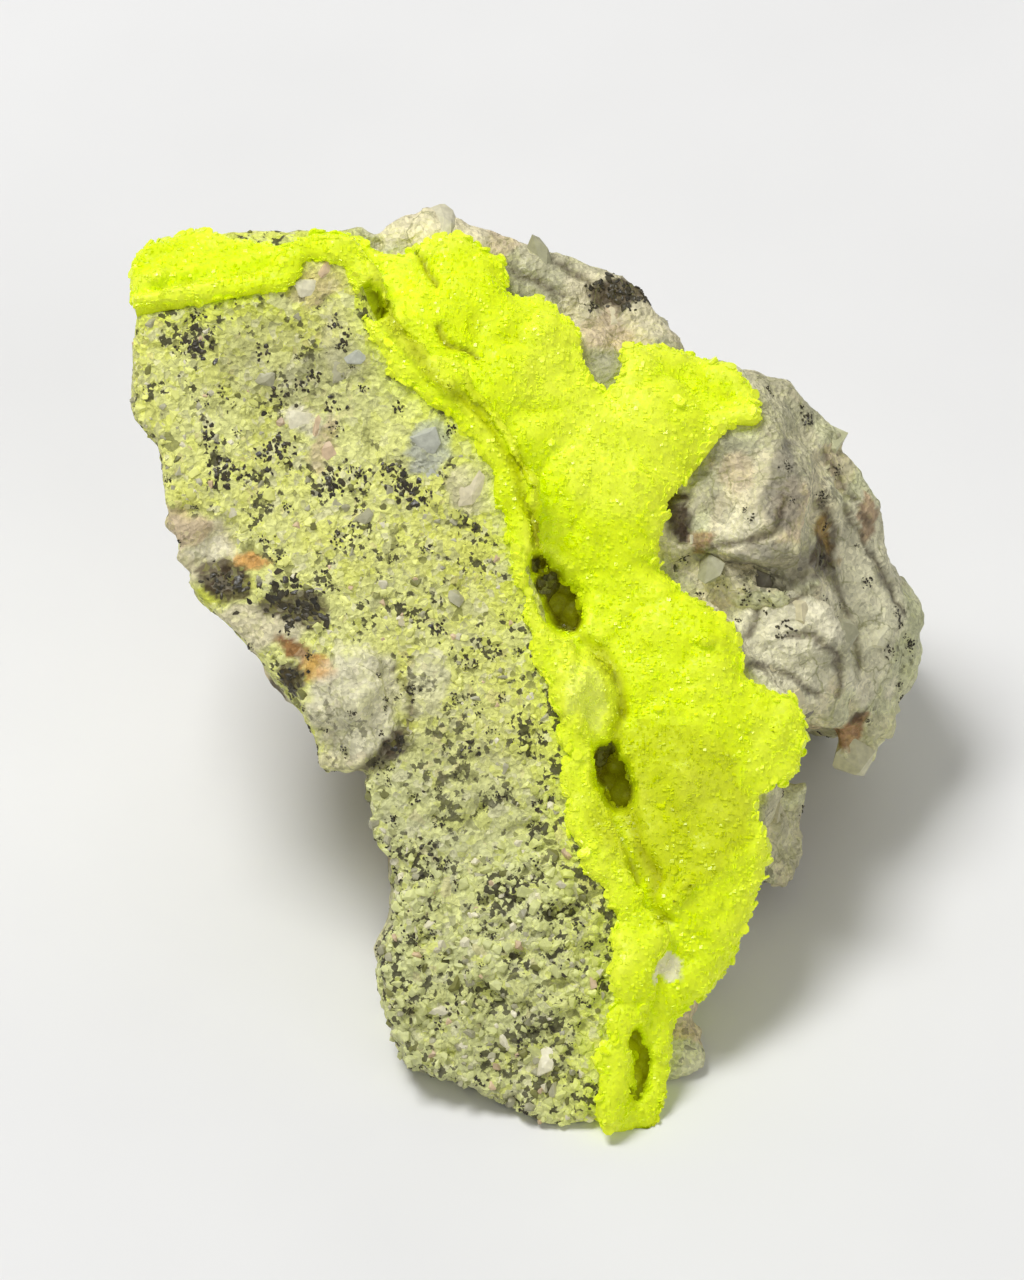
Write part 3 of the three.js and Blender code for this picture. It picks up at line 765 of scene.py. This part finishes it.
def granite_material():
    """Interlocking grains over each place's own tone, with dark specks between them."""
    shader = Shader("granite")
    place = shader.place()
    tone = shader.attribute("tone").outputs["Color"]
    grainy = shader.attribute("grainy").outputs["Fac"]
    gloss = shader.attribute("gloss").outputs["Fac"]
    uneven = shader.ragged(place, 0.9 * MM, 0.7 * MM)

    grains = shader.cells(uneven, 1.3 * MM)
    small = shader.cells(uneven, 0.62 * MM)
    patch = shader.spread(shader.noise(place, 3 * MM).outputs["Fac"], 0.46, 0.5, 0, 1)
    pick = shader.channel(shader.mix(patch, grains.outputs["Color"], small.outputs["Color"]), 0)
    kinds = shader.ramp(pick, (
        (0.00, see_through("ground", 0.0)),
        (0.42, see_through("pale", 0.6)),
        (0.56, see_through("grey", 0.45)),
        (0.68, see_through("white", 0.5)),
        (0.78, see_through("sulphur", 0.4)),
        (0.90, see_through("pink", 0.3)),
        (0.94, see_through("olive", 0.7)),
    ), "CONSTANT")
    share = shader.math("MULTIPLY", kinds.outputs["Alpha"], grainy)
    colour = shader.mix(share, tone, kinds.outputs["Color"])

    fine = shader.cells(uneven, 0.4 * MM)
    shade = shader.spread(shader.channel(fine.outputs["Color"], 1), 0, 1, 0.78, 1.14)
    colour = shader.mix(1.0, colour, shade, "MULTIPLY")
    # Darker grain edges: partly real joints between grains, partly painted shade between them
    seams = shader.cells(shader.ragged(place, 1.2 * MM, 1.0 * MM), 2.2 * MM, "DISTANCE_TO_EDGE")
    seam = shader.spread(seams.outputs["Distance"], 0.0, 0.04, 0.6, 1)
    colour = shader.mix(shader.math("MULTIPLY", grainy, 0.6), colour, seam, "MULTIPLY")

    whole = shader.math("SUBTRACT", 1, grainy)
    faces = shader.cells(shader.ragged(place, 2 * MM, 1.2 * MM), 2.4 * MM)
    faces.distance = "MANHATTAN"
    face_shade = shader.spread(shader.channel(faces.outputs["Color"], 1), 0, 1, 0.8, 1.2)
    colour = shader.mix(whole, colour, shader.mix(1.0, colour, face_shade, "MULTIPLY"))
    veins = shader.cells(shader.ragged(place, 1.5 * MM, 1.6 * MM), 3.6 * MM, "DISTANCE_TO_EDGE")
    vein = shader.spread(veins.outputs["Distance"], 0.0, 0.035, 0.75, 0)
    patchy = shader.spread(shader.noise(place, 4 * MM).outputs["Fac"], 0.45, 0.55, 0, 1)
    vein = shader.math("MULTIPLY", shader.math("MULTIPLY", vein, patchy), whole)
    colour = shader.mix(vein, colour, (*linear("olive"), 1))

    clusters = shader.spread(shader.noise(place, 3.5 * MM, 5.0).outputs["Fac"], 0.35, 0.7, 0.2, 1)
    specks = shader.cells(shader.ragged(place, 0.35 * MM, 0.6 * MM), 0.55 * MM)
    specky = shader.attribute("specky").outputs["Fac"]
    chance = shader.math("MULTIPLY", shader.channel(specks.outputs["Color"], 2), clusters)
    chance = shader.math("MULTIPLY", chance, specky)
    dark = shader.spread(chance, 0.5, 0.56, 0, 0.9)
    speckled = shader.spread(grainy, 0, 1, 0.35, 1)
    colour = shader.mix(shader.math("MULTIPLY", dark, speckled), colour, (*linear("mica"), 1))
    shader.link(colour, shader.surface.inputs["Base Color"])

    smooth = shader.math("ADD", gloss, shader.channel(fine.outputs["Color"], 0))
    shader.link(shader.spread(smooth, 0, 2, 0.86, 0.32), shader.surface.inputs["Roughness"])
    grain_relief = shader.bump(small.outputs["Distance"], 0.3 * MM, 0.8)
    fine_relief = shader.bump(shader.noise(place, 0.4 * MM).outputs["Fac"], 0.2 * MM, 0.7, grain_relief)
    shader.link(fine_relief, shader.surface.inputs["Normal"])
    shader.set(IOR=1.54)
    return shader.material


def chip_material():
    """Single mineral grains: cloudy, cleaved and a little glassy."""
    shader = Shader("mineral_grain")
    place = shader.place()
    tone = shader.attribute("tone").outputs["Color"]
    cloud = shader.spread(shader.noise(place, 0.6 * MM).outputs["Fac"], 0.3, 0.7, 0.85, 1.1)
    shader.link(shader.mix(1.0, tone, cloud, "MULTIPLY"), shader.surface.inputs["Base Color"])
    scratches = shader.noise(place, 0.25 * MM).outputs["Fac"]
    shader.link(shader.spread(scratches, 0.3, 0.7, 0.38, 0.62), shader.surface.inputs["Roughness"])
    shader.link(shader.bump(scratches, 0.08 * MM, 0.4), shader.surface.inputs["Normal"])
    shader.set(IOR=1.54)
    return shader.material


def mica_material():
    """Dark mica with bronze-edged sheets."""
    shader = Shader("dark_mica")
    place = shader.place()
    tone = shader.attribute("tone").outputs["Color"]
    sheets = shader.noise(place, 0.3 * MM).outputs["Fac"]
    bronze = shader.spread(sheets, 0.5, 0.75, 0, 0.35)
    colour = shader.mix(bronze, tone, (*linear("brown"), 1))
    shader.link(colour, shader.surface.inputs["Base Color"])
    shader.link(shader.spread(sheets, 0.3, 0.7, 0.3, 0.6), shader.surface.inputs["Roughness"])
    shader.link(shader.bump(sheets, 0.1 * MM, 0.5), shader.surface.inputs["Normal"])
    shader.set(IOR=1.58)
    return shader.material


def autunite_material(name, rough_low, rough_high, depth):
    """Crystals with a little painted glow that lifts their shade, soft where light sinks into them."""
    shader = Shader(name)
    place = shader.place()
    tone = shader.attribute("tone").outputs["Color"]
    grain = shader.cells(shader.ragged(place, 0.4 * MM, 0.3 * MM), 0.45 * MM)
    shade = shader.spread(shader.channel(grain.outputs["Color"], 0), 0, 1, 0.9, 1.05)
    colour = shader.mix(1.0, tone, shade, "MULTIPLY")
    shader.link(colour, shader.surface.inputs["Base Color"])
    # The emission is painted glow: the crystals light themselves a little, so their shade stays yellow
    shader.link(colour, shader.surface.inputs["Emission Color"])
    rough = shader.spread(shader.channel(grain.outputs["Color"], 1), 0, 1, rough_low, rough_high)
    shader.link(rough, shader.surface.inputs["Roughness"])
    shader.link(shader.bump(grain.outputs["Distance"], 0.15 * MM, 0.35), shader.surface.inputs["Normal"])
    shader.set(
        IOR=1.57, Specular_IOR_Level=0.35, Emission_Strength=0.14, Subsurface_Weight=depth,
        Subsurface_Radius=(1.0, 1.0, 0.2), Subsurface_Scale=1.2 * MM,
    )
    return shader.material


# The rock

def rock_skin():
    """Granite slab and quartz block with their broken surface, and the place masks they share."""
    skin = Skin("granite_skin", "granite_matrix", ROCK_VOXEL)
    skin.points = relaxed(skin.points, skin.edges, ROCK_SMOOTHED)
    place = skin.points
    edge = np.interp(place[:, 1], *np.array(SLAB_EDGE).T)
    slab = eased(edge - place[:, 0], -2, 1) * eased(place[:, 2], -SLAB_DEPTH - 3, -SLAB_DEPTH)
    base = 1 - eased(to_frame(place)[:, 2], 0.4 * MM, 1.4 * MM)

    depth, floor = hollow_depth(place)
    below = np.maximum(floor - place[:, 2], 0) * (depth > -0.15)
    place[:, 2] += below * (1 - HOLLOW_SHARE)
    for *oval, lowest in FILLED:
        share = 1 - eased(from_oval(place, *oval), *FILLED_EDGE)
        share = share * (1 - FILLED_SHARE) * (place[:, 2] > lowest - FILLED_DEPTH)
        place[:, 2] += np.maximum(lowest - place[:, 2], 0) * share

    _, _, from_crust = nearest_on(node_tree("autunite_crust"), place)
    from_middle, _ = cells(place, SLAB_GRAIN[0])
    rougher = 1 + SLAB_ROUGHER * eased(-place[:, 1], 0, 20)
    pits = eased(waves(place, SLAB_PITS[0], 4.4), 0.3, 0.6)
    slab_relief = (
        SLAB_SWELL[1] * waves(place, SLAB_SWELL[0])
        + SLAB_GRAIN[1] * (0.45 - from_middle)
        + SLAB_RIPPLE[1] * waves(place, SLAB_RIPPLE[0])
        - SLAB_PITS[1] * pits
    )
    slab_relief = slab_relief * rougher * (0.2 + 0.8 * eased(from_crust, *SLAB_CALM_NEAR_CRUST))
    for *oval, width in QUARTZ_FACES:
        share = 1 - eased(from_oval(place, *oval), *QUARTZ_FACE_EDGE)
        slab_relief = slab_relief * (1 - share) + QUARTZ_FACE_HEIGHT * facets(place, width) * share
    block_relief = np.full(len(place), BLOCK_LIFT)
    for width, height in BLOCK_FACETS:
        block_relief = block_relief + height * facets(place, width)
    block_relief = block_relief + BLOCK_RIPPLE[1] * waves(place, BLOCK_RIPPLE[0])
    relief = slab * slab_relief + (1 - slab) * block_relief - SEAM_DEPTH * seam_share(place)
    skin.push(relief * (1 - base))
    return skin, slab, from_crust


def node_tree(node):
    """A node's solid for nearest points, in millimetres on the display face."""
    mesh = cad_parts[node].data
    corners = [Vector(place) for place in to_face(read(mesh.vertices, "co", 3))]
    return BVHTree.FromPolygons(corners, [tuple(face.vertices) for face in mesh.polygons])


def nearest_on(tree, points):
    """The nearest place on a surface for each point, the direction out of it and the distance."""
    found = [tree.find_nearest(Vector(place)) for place in points]
    places = np.array([entry[0] for entry in found])
    outward = np.array([entry[1] for entry in found])
    return places, outward, np.array([entry[3] for entry in found])


def paint_rock(skin, slab, from_crust):
    """Tone, graininess and gloss of the rock from its stains and the crust nearby, with painted shade in
    its hollows and creases.
    """
    place = skin.points
    front = eased(skin.normals()[:, 2], -0.35, 0.1) * (1 - slab * (1 - eased(place[:, 2], -6, -3)))
    broad = waves(place, 9, 3.1)
    middle = waves(place, 3.6, 5.7)
    _, lumps = cells(place, BLOCK_LUMP)
    chance = np.array([noise.cell(Vector(lump * 31.7)) for lump in lumps])
    kinds = np.array([linear(name) for name in BLOCK_KINDS])
    block_tone = kinds[np.clip((chance + 1) / 2 * len(kinds), 0, len(kinds) - 1).astype(int)]
    block_tone = (block_tone * (1 - BLOCK_EVEN) + kinds.mean(axis=0) * BLOCK_EVEN) * BLOCK_BRIGHT
    block_tone = blended(block_tone, "green", FLANK_GREEN * eased(place[:, 0], *FLANK_ACROSS))
    slab_tone = blended(linear("pale"), "ground", eased(broad + 0.6 * middle, -0.7, 0.7))
    slab_tone = blended(slab_tone, "green", LOW_SLAB_GREEN * eased(-place[:, 1] + 4 * middle, 4, 18))
    slab_tone = blended(slab_tone, "sulphur", YELLOWED_SHARE * np.exp(-from_crust / YELLOWED_REACH))
    tone = slab_tone * slab[:, None] + block_tone * (1 - slab[:, None])

    tone, plain = stained(tone, place, STAINS, front)
    # Brown along the seams: real cracks, and painted shade in the creases
    tone = blended(tone, "brown", SEAM_AND_SHADE_DARKNESS * seam_share(place) * front)
    tone = blended(tone, "neon", (0.25 + 0.5 * slab) * np.exp(-from_crust / (0.5 + 0.8 * slab)))
    # Painted shade: the darkest olive inside the open hollows, deeper than the face
    tone = blended(tone, "hollow_shade", eased(hollow_depth(place)[0], -0.4, 0.1) * eased(-place[:, 2], 2, 5))
    colour_points(skin.mesh, tone)
    skin.mark("grainy", (0.3 + 0.7 * slab) * (1 - 0.75 * plain))
    lower_slab = slab * eased(-place[:, 1], -8, 12)
    skin.mark("specky", (0.8 + 0.2 * slab + 0.28 * lower_slab) * (1 - 0.3 * plain))
    skin.mark("gloss", eased(middle, -0.2, 0.8) * (1 - slab))
    skin.mesh.materials.append(granite_material())
    return tone, plain


def slab_grains(skin, slab, from_crust, tone, plain):
    """Quartz and feldspar grains that stand a little out of the slab's broken face."""
    normals = skin.normals()
    bare = (from_crust > GRAIN_CLEAR_OF_CRUST) & (plain < 0.3)
    open_face = np.flatnonzero((slab > 0.9) & (normals[:, 2] > 0.2) & bare)
    chosen = draw.choice(open_face, GRAIN_COUNT, replace=False)
    names = [name for name, share in GRAIN_KINDS]
    shares = [share for name, share in GRAIN_KINDS]
    kinds = draw.choice(len(names), GRAIN_COUNT, p=shares)
    radius = draw.uniform(*GRAIN_RADIUS, GRAIN_COUNT)
    sizes = radius[:, None] * draw.uniform(0.7, 1.2, (GRAIN_COUNT, 3))
    proud = GRAIN_PROUD * (1 + eased(-skin.points[chosen, 1], 2, 22))
    sink = radius * 0.9 - draw.uniform(0.2, 1, GRAIN_COUNT) * proud
    places = skin.points[chosen] - normals[chosen] * sink[:, None]
    colours = np.array([linear(names[kind]) for kind in kinds])
    same = draw.random(GRAIN_COUNT) < GRAIN_OF_PLACE
    colours[same] = tone[chosen][same]
    colours = colours * draw.uniform(0.82, 1.12, (GRAIN_COUNT, 1))
    parts = scattered(chip_shapes(24, 16), places, random_turns(GRAIN_COUNT), sizes, colours)
    material = chip_material()
    joined_piece("granite_grains", *parts, material, "granite")

    tree = skin.tree()
    places, turns, sizes, colours = [], [], [], []
    for mineral, across, up, half_length, half_width, turn in LARGE_GRAINS:
        place, normal = on_surface(tree, across, up)
        along = Vector((math.cos(math.radians(turn)), math.sin(math.radians(turn)), 0))
        side = normal.cross(along).normalized()
        places.append(np.array(place) - np.array(normal) * LARGE_GRAIN_SUNK)
        turns.append(np.array((side.cross(normal), side, normal)).T)
        sizes.append(np.array((half_length, half_width, LARGE_GRAIN_OUT)))
        colours.append(linear(mineral))
    parts = scattered(chip_shapes(13, 18), places, turns, sizes, colours)
    joined_piece("large_grains", *parts, material, "granite")


def quartz_blocks(skin, slab, from_crust, tone):
    """Angular quartz that stands out of the block: named pieces, and a scatter far behind the face."""
    tree = skin.tree()
    places, normals, sizes, colours = [], [], [], []
    for mineral, across, up, *half in QUARTZ:
        place, normal = on_surface(tree, across, up)
        places.append(np.array(place) - np.array(normal) * half[2] * QUARTZ_SUNK)
        normals.append(normal)
        sizes.append(half)
        colours.append(linear(mineral) * QUARTZ_DIM)
    turns = axes_along(np.array(normals))

    height = to_frame(skin.points)[:, 2]
    behind = (skin.points[:, 2] < QUARTZ_SCATTER_BEHIND) & (height > QUARTZ_LOWEST)
    open_rock = np.flatnonzero((slab < 0.1) & (from_crust > QUARTZ_CLEAR_OF_CRUST) & behind)
    chosen = draw.choice(open_rock, QUARTZ_SCATTER, replace=False)
    radius = draw.uniform(*QUARTZ_RADIUS, (QUARTZ_SCATTER, 1))
    sunk = skin.points[chosen] - skin.normals()[chosen] * radius * QUARTZ_SCATTER_SUNK
    places = np.concatenate((places, sunk))
    sizes = np.concatenate((sizes, radius * draw.uniform(0.75, 1.15, (QUARTZ_SCATTER, 3))))
    colours = np.concatenate((colours, tone[chosen] * draw.uniform(0.75, 1.1, (QUARTZ_SCATTER, 1))))
    turns = np.concatenate((turns, random_turns(QUARTZ_SCATTER)))
    parts = scattered(chip_shapes(40, 15), places, turns, sizes, colours)
    joined_piece("quartz_blocks", *parts, chip_material(), "granite")


def mica_flakes(skin, slab, from_crust):
    """Dark mica in ragged clusters: named ones on the display face and small ones all over."""
    tree = skin.tree()
    clusters = []
    for across, up, size in MICA_SPOTS:
        place, _ = on_surface(tree, across, up)
        if place is not None:
            clusters.append((place, size))
    bare = np.flatnonzero(from_crust > MICA_CLEAR_OF_CRUST)
    weights = 1 + 3 * slab[bare] * eased(-skin.points[bare, 1], -8, 12)
    for index in draw.choice(bare, MICA_CLUSTERS, replace=False, p=weights / weights.sum()):
        clusters.append((skin.points[index], draw.uniform(*MICA_CLUSTER_SIZE)))

    places, directions, sizes = [], [], []
    for place, size in clusters:
        for _ in range(int(draw.integers(*MICA_CHIPS) * max(1, size))):
            spot = Vector(np.array(place) + draw.normal(size=3) * size * MICA_SPREAD)
            near, out, _, _ = tree.find_nearest(spot)
            places.append(np.array(near) + np.array(out) * 0.02)
            directions.append(unit(np.array(out) + draw.normal(size=3) * 0.18))
            radius = size * draw.uniform(*MICA_FLAKE)
            length = radius * draw.uniform(0.6, 1.3)
            width = radius * draw.uniform(0.5, 1.0)
            sizes.append((length, width, MICA_THICKNESS))
    count = len(places)
    # Spare draws, which leave the later ones as they are
    draw.normal(size=(count, 4))
    turns = axes_along(np.array(directions))
    spun = np.zeros((count, 3, 3))
    angle = draw.uniform(0, 2 * math.pi, count)
    spun[:, 0, 0] = spun[:, 1, 1] = np.cos(angle)
    spun[:, 1, 0] = np.sin(angle)
    spun[:, 0, 1] = -np.sin(angle)
    spun[:, 2, 2] = 1
    colours = linear("mica") * draw.uniform(0.5, 1.8, (count, 1))
    parts = scattered(chip_shapes(16, 12), np.array(places), turns @ spun, np.array(sizes), colours)
    joined_piece("mica_flakes", *parts, mica_material(), "granite")


# The crust

def calmed(points, weights):
    """Points drawn out of the face towards one smooth sheet through them, by their weights."""
    across, up = points[:, :2].T / 40
    basis = np.stack([across ** i * up ** j for i in range(5) for j in range(5 - i)], axis=1)
    inside = weights > 0.5
    sheet = basis @ np.linalg.lstsq(basis[inside], points[inside, 2], rcond=None)[0]
    calm = points.copy()
    calm[:, 2] += (sheet - points[:, 2]) * CRUST_CALM * weights
    return calm


def crust_skin():
    """The crust as soft domes of crystals, its underside sunk into the rock."""
    skin = Skin("autunite_skin", "autunite_crust", CRUST_VOXEL)
    rooted, outward, cover = nearest_on(node_tree("granite_matrix"), skin.points)
    under = 1 - eased(cover, *CRUST_UNDERSIDE)
    skin.points = relaxed(skin.points, skin.edges, CRUST_SMOOTHED)

    across, up, _ = skin.points.T
    groove_across = np.interp(up, *np.array(GROOVE[::-1]).T[::-1])
    thinned = eased(groove_across - across, -0.3, 1.2) * eased(up, *STRIP_FOOT)
    fringe = eased(relaxed(under[:, None], skin.edges, 50)[:, 0], 0.1, 0.5)
    uneven = waves(skin.points, 1.6, 3.3) + 0.5 * waves(skin.points, 0.8, 6.1)
    from_rosette = skin.points[:, :2] - ROSETTE
    reach = np.hypot(*from_rosette.T)
    petals = np.sin(ROSETTE_PETALS * np.arctan2(*from_rosette.T) + 2 * uneven)
    ruffled = reach + 0.5 * petals + 0.8 * waves(skin.points, 1.2, 8.8)
    crinkled = PETAL_HEIGHT * petals * eased(reach, 0.5, 3)
    crinkled = crinkled + CRINKLES[1] * waves(skin.points, CRINKLES[0], 5.5)
    rosette = (ROSETTE_HEIGHT + crinkled) * (1 - eased(ruffled, *ROSETTE_REACH))
    slab_level = np.where(outward[:, 2] > 0.6, rooted[:, 2], SLAB_LEVEL)
    slab_level = relaxed(slab_level[:, None], skin.edges, 30)[:, 0]
    coat = slab_level + STRIP_COVER - 0.9 * fringe + 0.3 * uneven + rosette
    skin.points[:, 2] -= np.maximum(skin.points[:, 2] - coat, 0) * STRIP_PRESSED * thinned

    facing = eased(skin.normals()[:, 2], 0.1, 0.5)
    deep_inside = 1 - eased(relaxed(under[:, None], skin.edges, 120)[:, 0], 0.02, 0.25)
    skin.points = calmed(skin.points, facing * deep_inside * (1 - thinned))

    bend = np.stack([waves(skin.points, CRUST_BEND[0], shift) for shift in (0.3, 4.1, 7.7)], axis=1)
    bent = skin.points + CRUST_BEND[1] * bend
    big, _ = cells(bent, BIG_DOMES[0])
    small, _ = cells(bent, SMALL_DOMES[0])
    tiny, _ = cells(skin.points, TINY_DOMES[0])
    domes = (
        BIG_DOMES[1] * (0.5 - big ** 2)
        + SMALL_DOMES[1] * (0.4 - small ** 2)
        + TINY_DOMES[1] * (0.4 - tiny ** 2)
    )
    ridges = CRUST_RIDGES[1] * waves(bent, CRUST_RIDGES[0], 1.9)
    hollow, floor = hollow_depth(skin.points)
    open_hollow = eased(hollow, -0.4, 0.1)
    groove = (1 - eased(near_path(bent, GROOVE), *GROOVE_WIDTH)) * (1 - thinned)
    crack = 1 - eased(np.minimum(*[near_path(bent, path) for path in CRACKS]), *CRACK_WIDTH)
    lift = (CRUST_LIFT + domes + ridges) * (1 - open_hollow) * (1 - STRIP_CALM * thinned)
    lift = lift - GROOVE_DEPTH * groove - GROOVE_DEPTH * crack
    skin.push(lift * (1 - under))
    carved = eased(hollow, -0.5, 0.5) * (1 - under)
    skin.points[:, 2] += (np.minimum(skin.points[:, 2], floor) - skin.points[:, 2]) * carved
    inward = rooted - outward * CRUST_SINK - skin.points
    length = np.linalg.norm(inward, axis=1, keepdims=True)
    inward = inward * np.minimum(1, CRUST_DRAWN / np.maximum(length, CRUST_SINK))
    inward = relaxed(inward, skin.edges, 6)
    skin.points = above_base(skin.points + inward * under[:, None], CRUST_LOWEST)
    skin.place()
    return skin, under, np.maximum(groove, crack)


def paint_crust(skin, grooved):
    """Neon all over, with lemon on the heights as partly painted highlight, and moss and darker olive
    painted in the hollows as shade.
    """
    normals = skin.normals()
    near = np.sum((skin.points - relaxed(skin.points, skin.edges, 12)) * normals, axis=1)
    far = np.sum((skin.points - relaxed(skin.points, skin.edges, 90)) * normals, axis=1)
    broad = waves(skin.points, 8, 2.3)
    sunk = -(far + 1.5 * near)
    # Lemon on the heights is partly painted highlight, laid over broad paler patches
    tone = blended(linear("neon"), "lemon", 0.8 * eased(broad + 0.9 * far, 0.0, 1.1))
    # Moss and the darkest olive in sunk places are painted shade
    tone = blended(tone, "moss", 0.7 * eased(sunk, 0.1, 1.0))
    tone = blended(tone, "hollow_shade", 0.7 * eased(sunk, 0.8, 1.8))
    tone, _ = stained(tone, skin.points, CRUST_STAINS, eased(normals[:, 2], -0.3, 0.2))
    # Painted shade: moss and the darkest olive deep in the open hollows, and moss along the groove and
    # cracks
    depth, floor = hollow_depth(skin.points)
    lowness = eased(-skin.points[:, 2], -floor - 4.5, -floor - 0.5)
    tone = blended(tone, "moss", np.maximum(eased(depth, -0.7, 0.0) * lowness, 0.6 * grooved))
    tone = blended(tone, "hollow_shade", 0.85 * eased(depth, -0.2, 0.4) * lowness)
    colour_points(skin.mesh, tone)
    skin.mesh.materials.append(autunite_material("autunite_crust", 0.45, 0.75, 0.3))
    return tone


def hollow_linings():
    """Round, knobbly lumps of crystals deep in the hollows, with painted shade that darkens them the
    deeper they lie.
    """
    ball = bmesh.new()
    bmesh.ops.create_icosphere(ball, subdivisions=4, radius=1)
    points = np.array([vertex.co for vertex in ball.verts])
    triangles = np.array([[vertex.index for vertex in face.verts] for face in ball.faces])
    ball.free()
    all_points, all_triangles = [], []
    for index, (across, up, out, radius) in enumerate(LININGS):
        body = points * radius + (across, up, out)
        knobs, _ = cells(body, LINING_KNOBS[0])
        swell = 1 + LINING_KNOBS[1] * (0.5 - knobs) + LINING_SWELL[1] * waves(body, LINING_SWELL[0])
        all_points.append((body - (across, up, out)) * swell[:, None] + (across, up, out))
        all_triangles.append(triangles + index * len(points))
    body = above_base(np.concatenate(all_points), LINING_LOWEST)
    # Painted shade: the darkest olive deep down, moss higher up
    tone = blended(linear("hollow_shade"), "moss", eased(body[:, 2] + 0.8 * waves(body, 2), -12, -4))
    material = autunite_material("autunite_lining", 0.45, 0.75, 0.3)
    joined_piece("hollow_linings", body, np.concatenate(all_triangles), tone, material, "autunite")


def tablet_shape(sides, thickness):
    """A thin prism with even sides: corners and triangles."""
    angles = 2 * math.pi * (np.arange(sides) + 0.5) / sides
    ring = np.stack((np.cos(angles), np.sin(angles)), axis=1)
    low = np.column_stack((ring, np.full(sides, -thickness)))
    high = np.column_stack((ring, np.full(sides, thickness)))
    triangles = []
    for index in range(1, sides - 1):
        triangles.append((0, index + 1, index))
        triangles.append((sides, sides + index, sides + index + 1))
    for index in range(sides):
        after = (index + 1) % sides
        triangles.append((index, after, sides + after))
        triangles.append((index, sides + after, sides + index))
    return np.concatenate((low, high)), np.array(triangles)


def crust_tablets(skin, under, tone, name, crystals, chance):
    """Tabular crystals on the crust, standing in sheaves that share a direction."""
    count, sides, thickness, size, lift = crystals
    shape = tablet_shape(sides, thickness)
    normals = skin.normals()
    open_face = np.flatnonzero((under < 0.05) & (to_frame(skin.points)[:, 2] > TABLET_LOWEST))
    weights = chance[open_face]
    chosen = draw.choice(open_face, count, replace=False, p=weights / weights.sum())
    out = normals[chosen]
    places = skin.points[chosen]
    sheaf = np.array([noise.noise_vector(Vector(place)) for place in places / 2.6])
    across = unit(np.cross(out, sheaf + 0.25 * draw.normal(size=(count, 3))))
    facing = unit(across * draw.uniform(0.2, 1.0, (count, 1)) + out)
    turns = axes_along(facing)
    sizes = draw.uniform(*size, count)
    colours = tone[chosen] * draw.uniform(0.95, 1.06, (count, 1))
    places = places + out * (sizes * lift)[:, None]
    parts = scattered([shape], places, turns, np.repeat(sizes[:, None], 3, axis=1), colours)
    joined_piece(name, *parts, autunite_material(name, 0.2, 0.45, 0.0), "autunite")


# The studio

def studio():
    """A pale floor, soft light from above and a camera square to the display face."""
    bpy.ops.mesh.primitive_plane_add(size=FLOOR_WIDTH)
    floor = bpy.context.active_object
    floor.name = "floor"
    shader = Shader("floor")
    mottle = shader.noise(shader.place(), 0.05).outputs["Fac"]
    grey = shader.spread(mottle, 0.3, 0.7, 0.80, 0.84)
    shader.link(grey, shader.surface.inputs["Base Color"])
    shader.set(Roughness=0.8)
    floor.data.materials.append(shader.material)

    world = bpy.context.scene.world or bpy.data.worlds.new("world")
    bpy.context.scene.world = world
    world.use_nodes = True
    background = world.node_tree.nodes["Background"]
    background.inputs["Color"].default_value = SKY_COLOUR
    background.inputs["Strength"].default_value = SKY_STRENGTH

    for name, place, side, power in LIGHTS:
        lamp = bpy.data.lights.new(name, "AREA")
        lamp.size = side
        lamp.energy = power
        holder = bpy.data.objects.new(name, lamp)
        holder.location = place
        holder.rotation_euler = (Vector(FACE_CENTRE) - Vector(place)).to_track_quat("-Z", "Y").to_euler()
        bpy.context.scene.collection.objects.link(holder)

    camera = bpy.data.cameras.new("camera")
    camera.sensor_fit = "VERTICAL"
    camera.sensor_height = SENSOR_HEIGHT
    camera.lens = SENSOR_HEIGHT * VIEW_DISTANCE / VIEW_HEIGHT
    holder = bpy.data.objects.new("camera", camera)
    holder.location = to_frame(np.array(VIEW_MIDDLE)) + FACE_AXES[2] * VIEW_DISTANCE
    holder.rotation_euler = (math.pi / 2 - LEAN, 0, 0)
    bpy.context.scene.collection.objects.link(holder)
    bpy.context.scene.camera = holder
    bpy.context.scene.view_settings.view_transform = "Standard"


rock, slab_share, from_crust = rock_skin()
rock_tone, plain = paint_rock(rock, slab_share, from_crust)
slab_grains(rock, slab_share, from_crust, rock_tone, plain)
quartz_blocks(rock, slab_share, from_crust, rock_tone)
mica_flakes(rock, slab_share, from_crust)
crust, crust_under, crust_grooves = crust_skin()
crust_tone = paint_crust(crust, crust_grooves)
hollow_linings()
even = np.ones(len(crust.points))
rim = relaxed(crust_under[:, None], crust.edges, 12)[:, 0] + 0.002
crust_tablets(crust, crust_under, crust_tone, "crystal_druse", DRUSE, even)
crust_tablets(crust, crust_under, crust_tone, "crystal_tablets", TABLETS, rim)
studio()
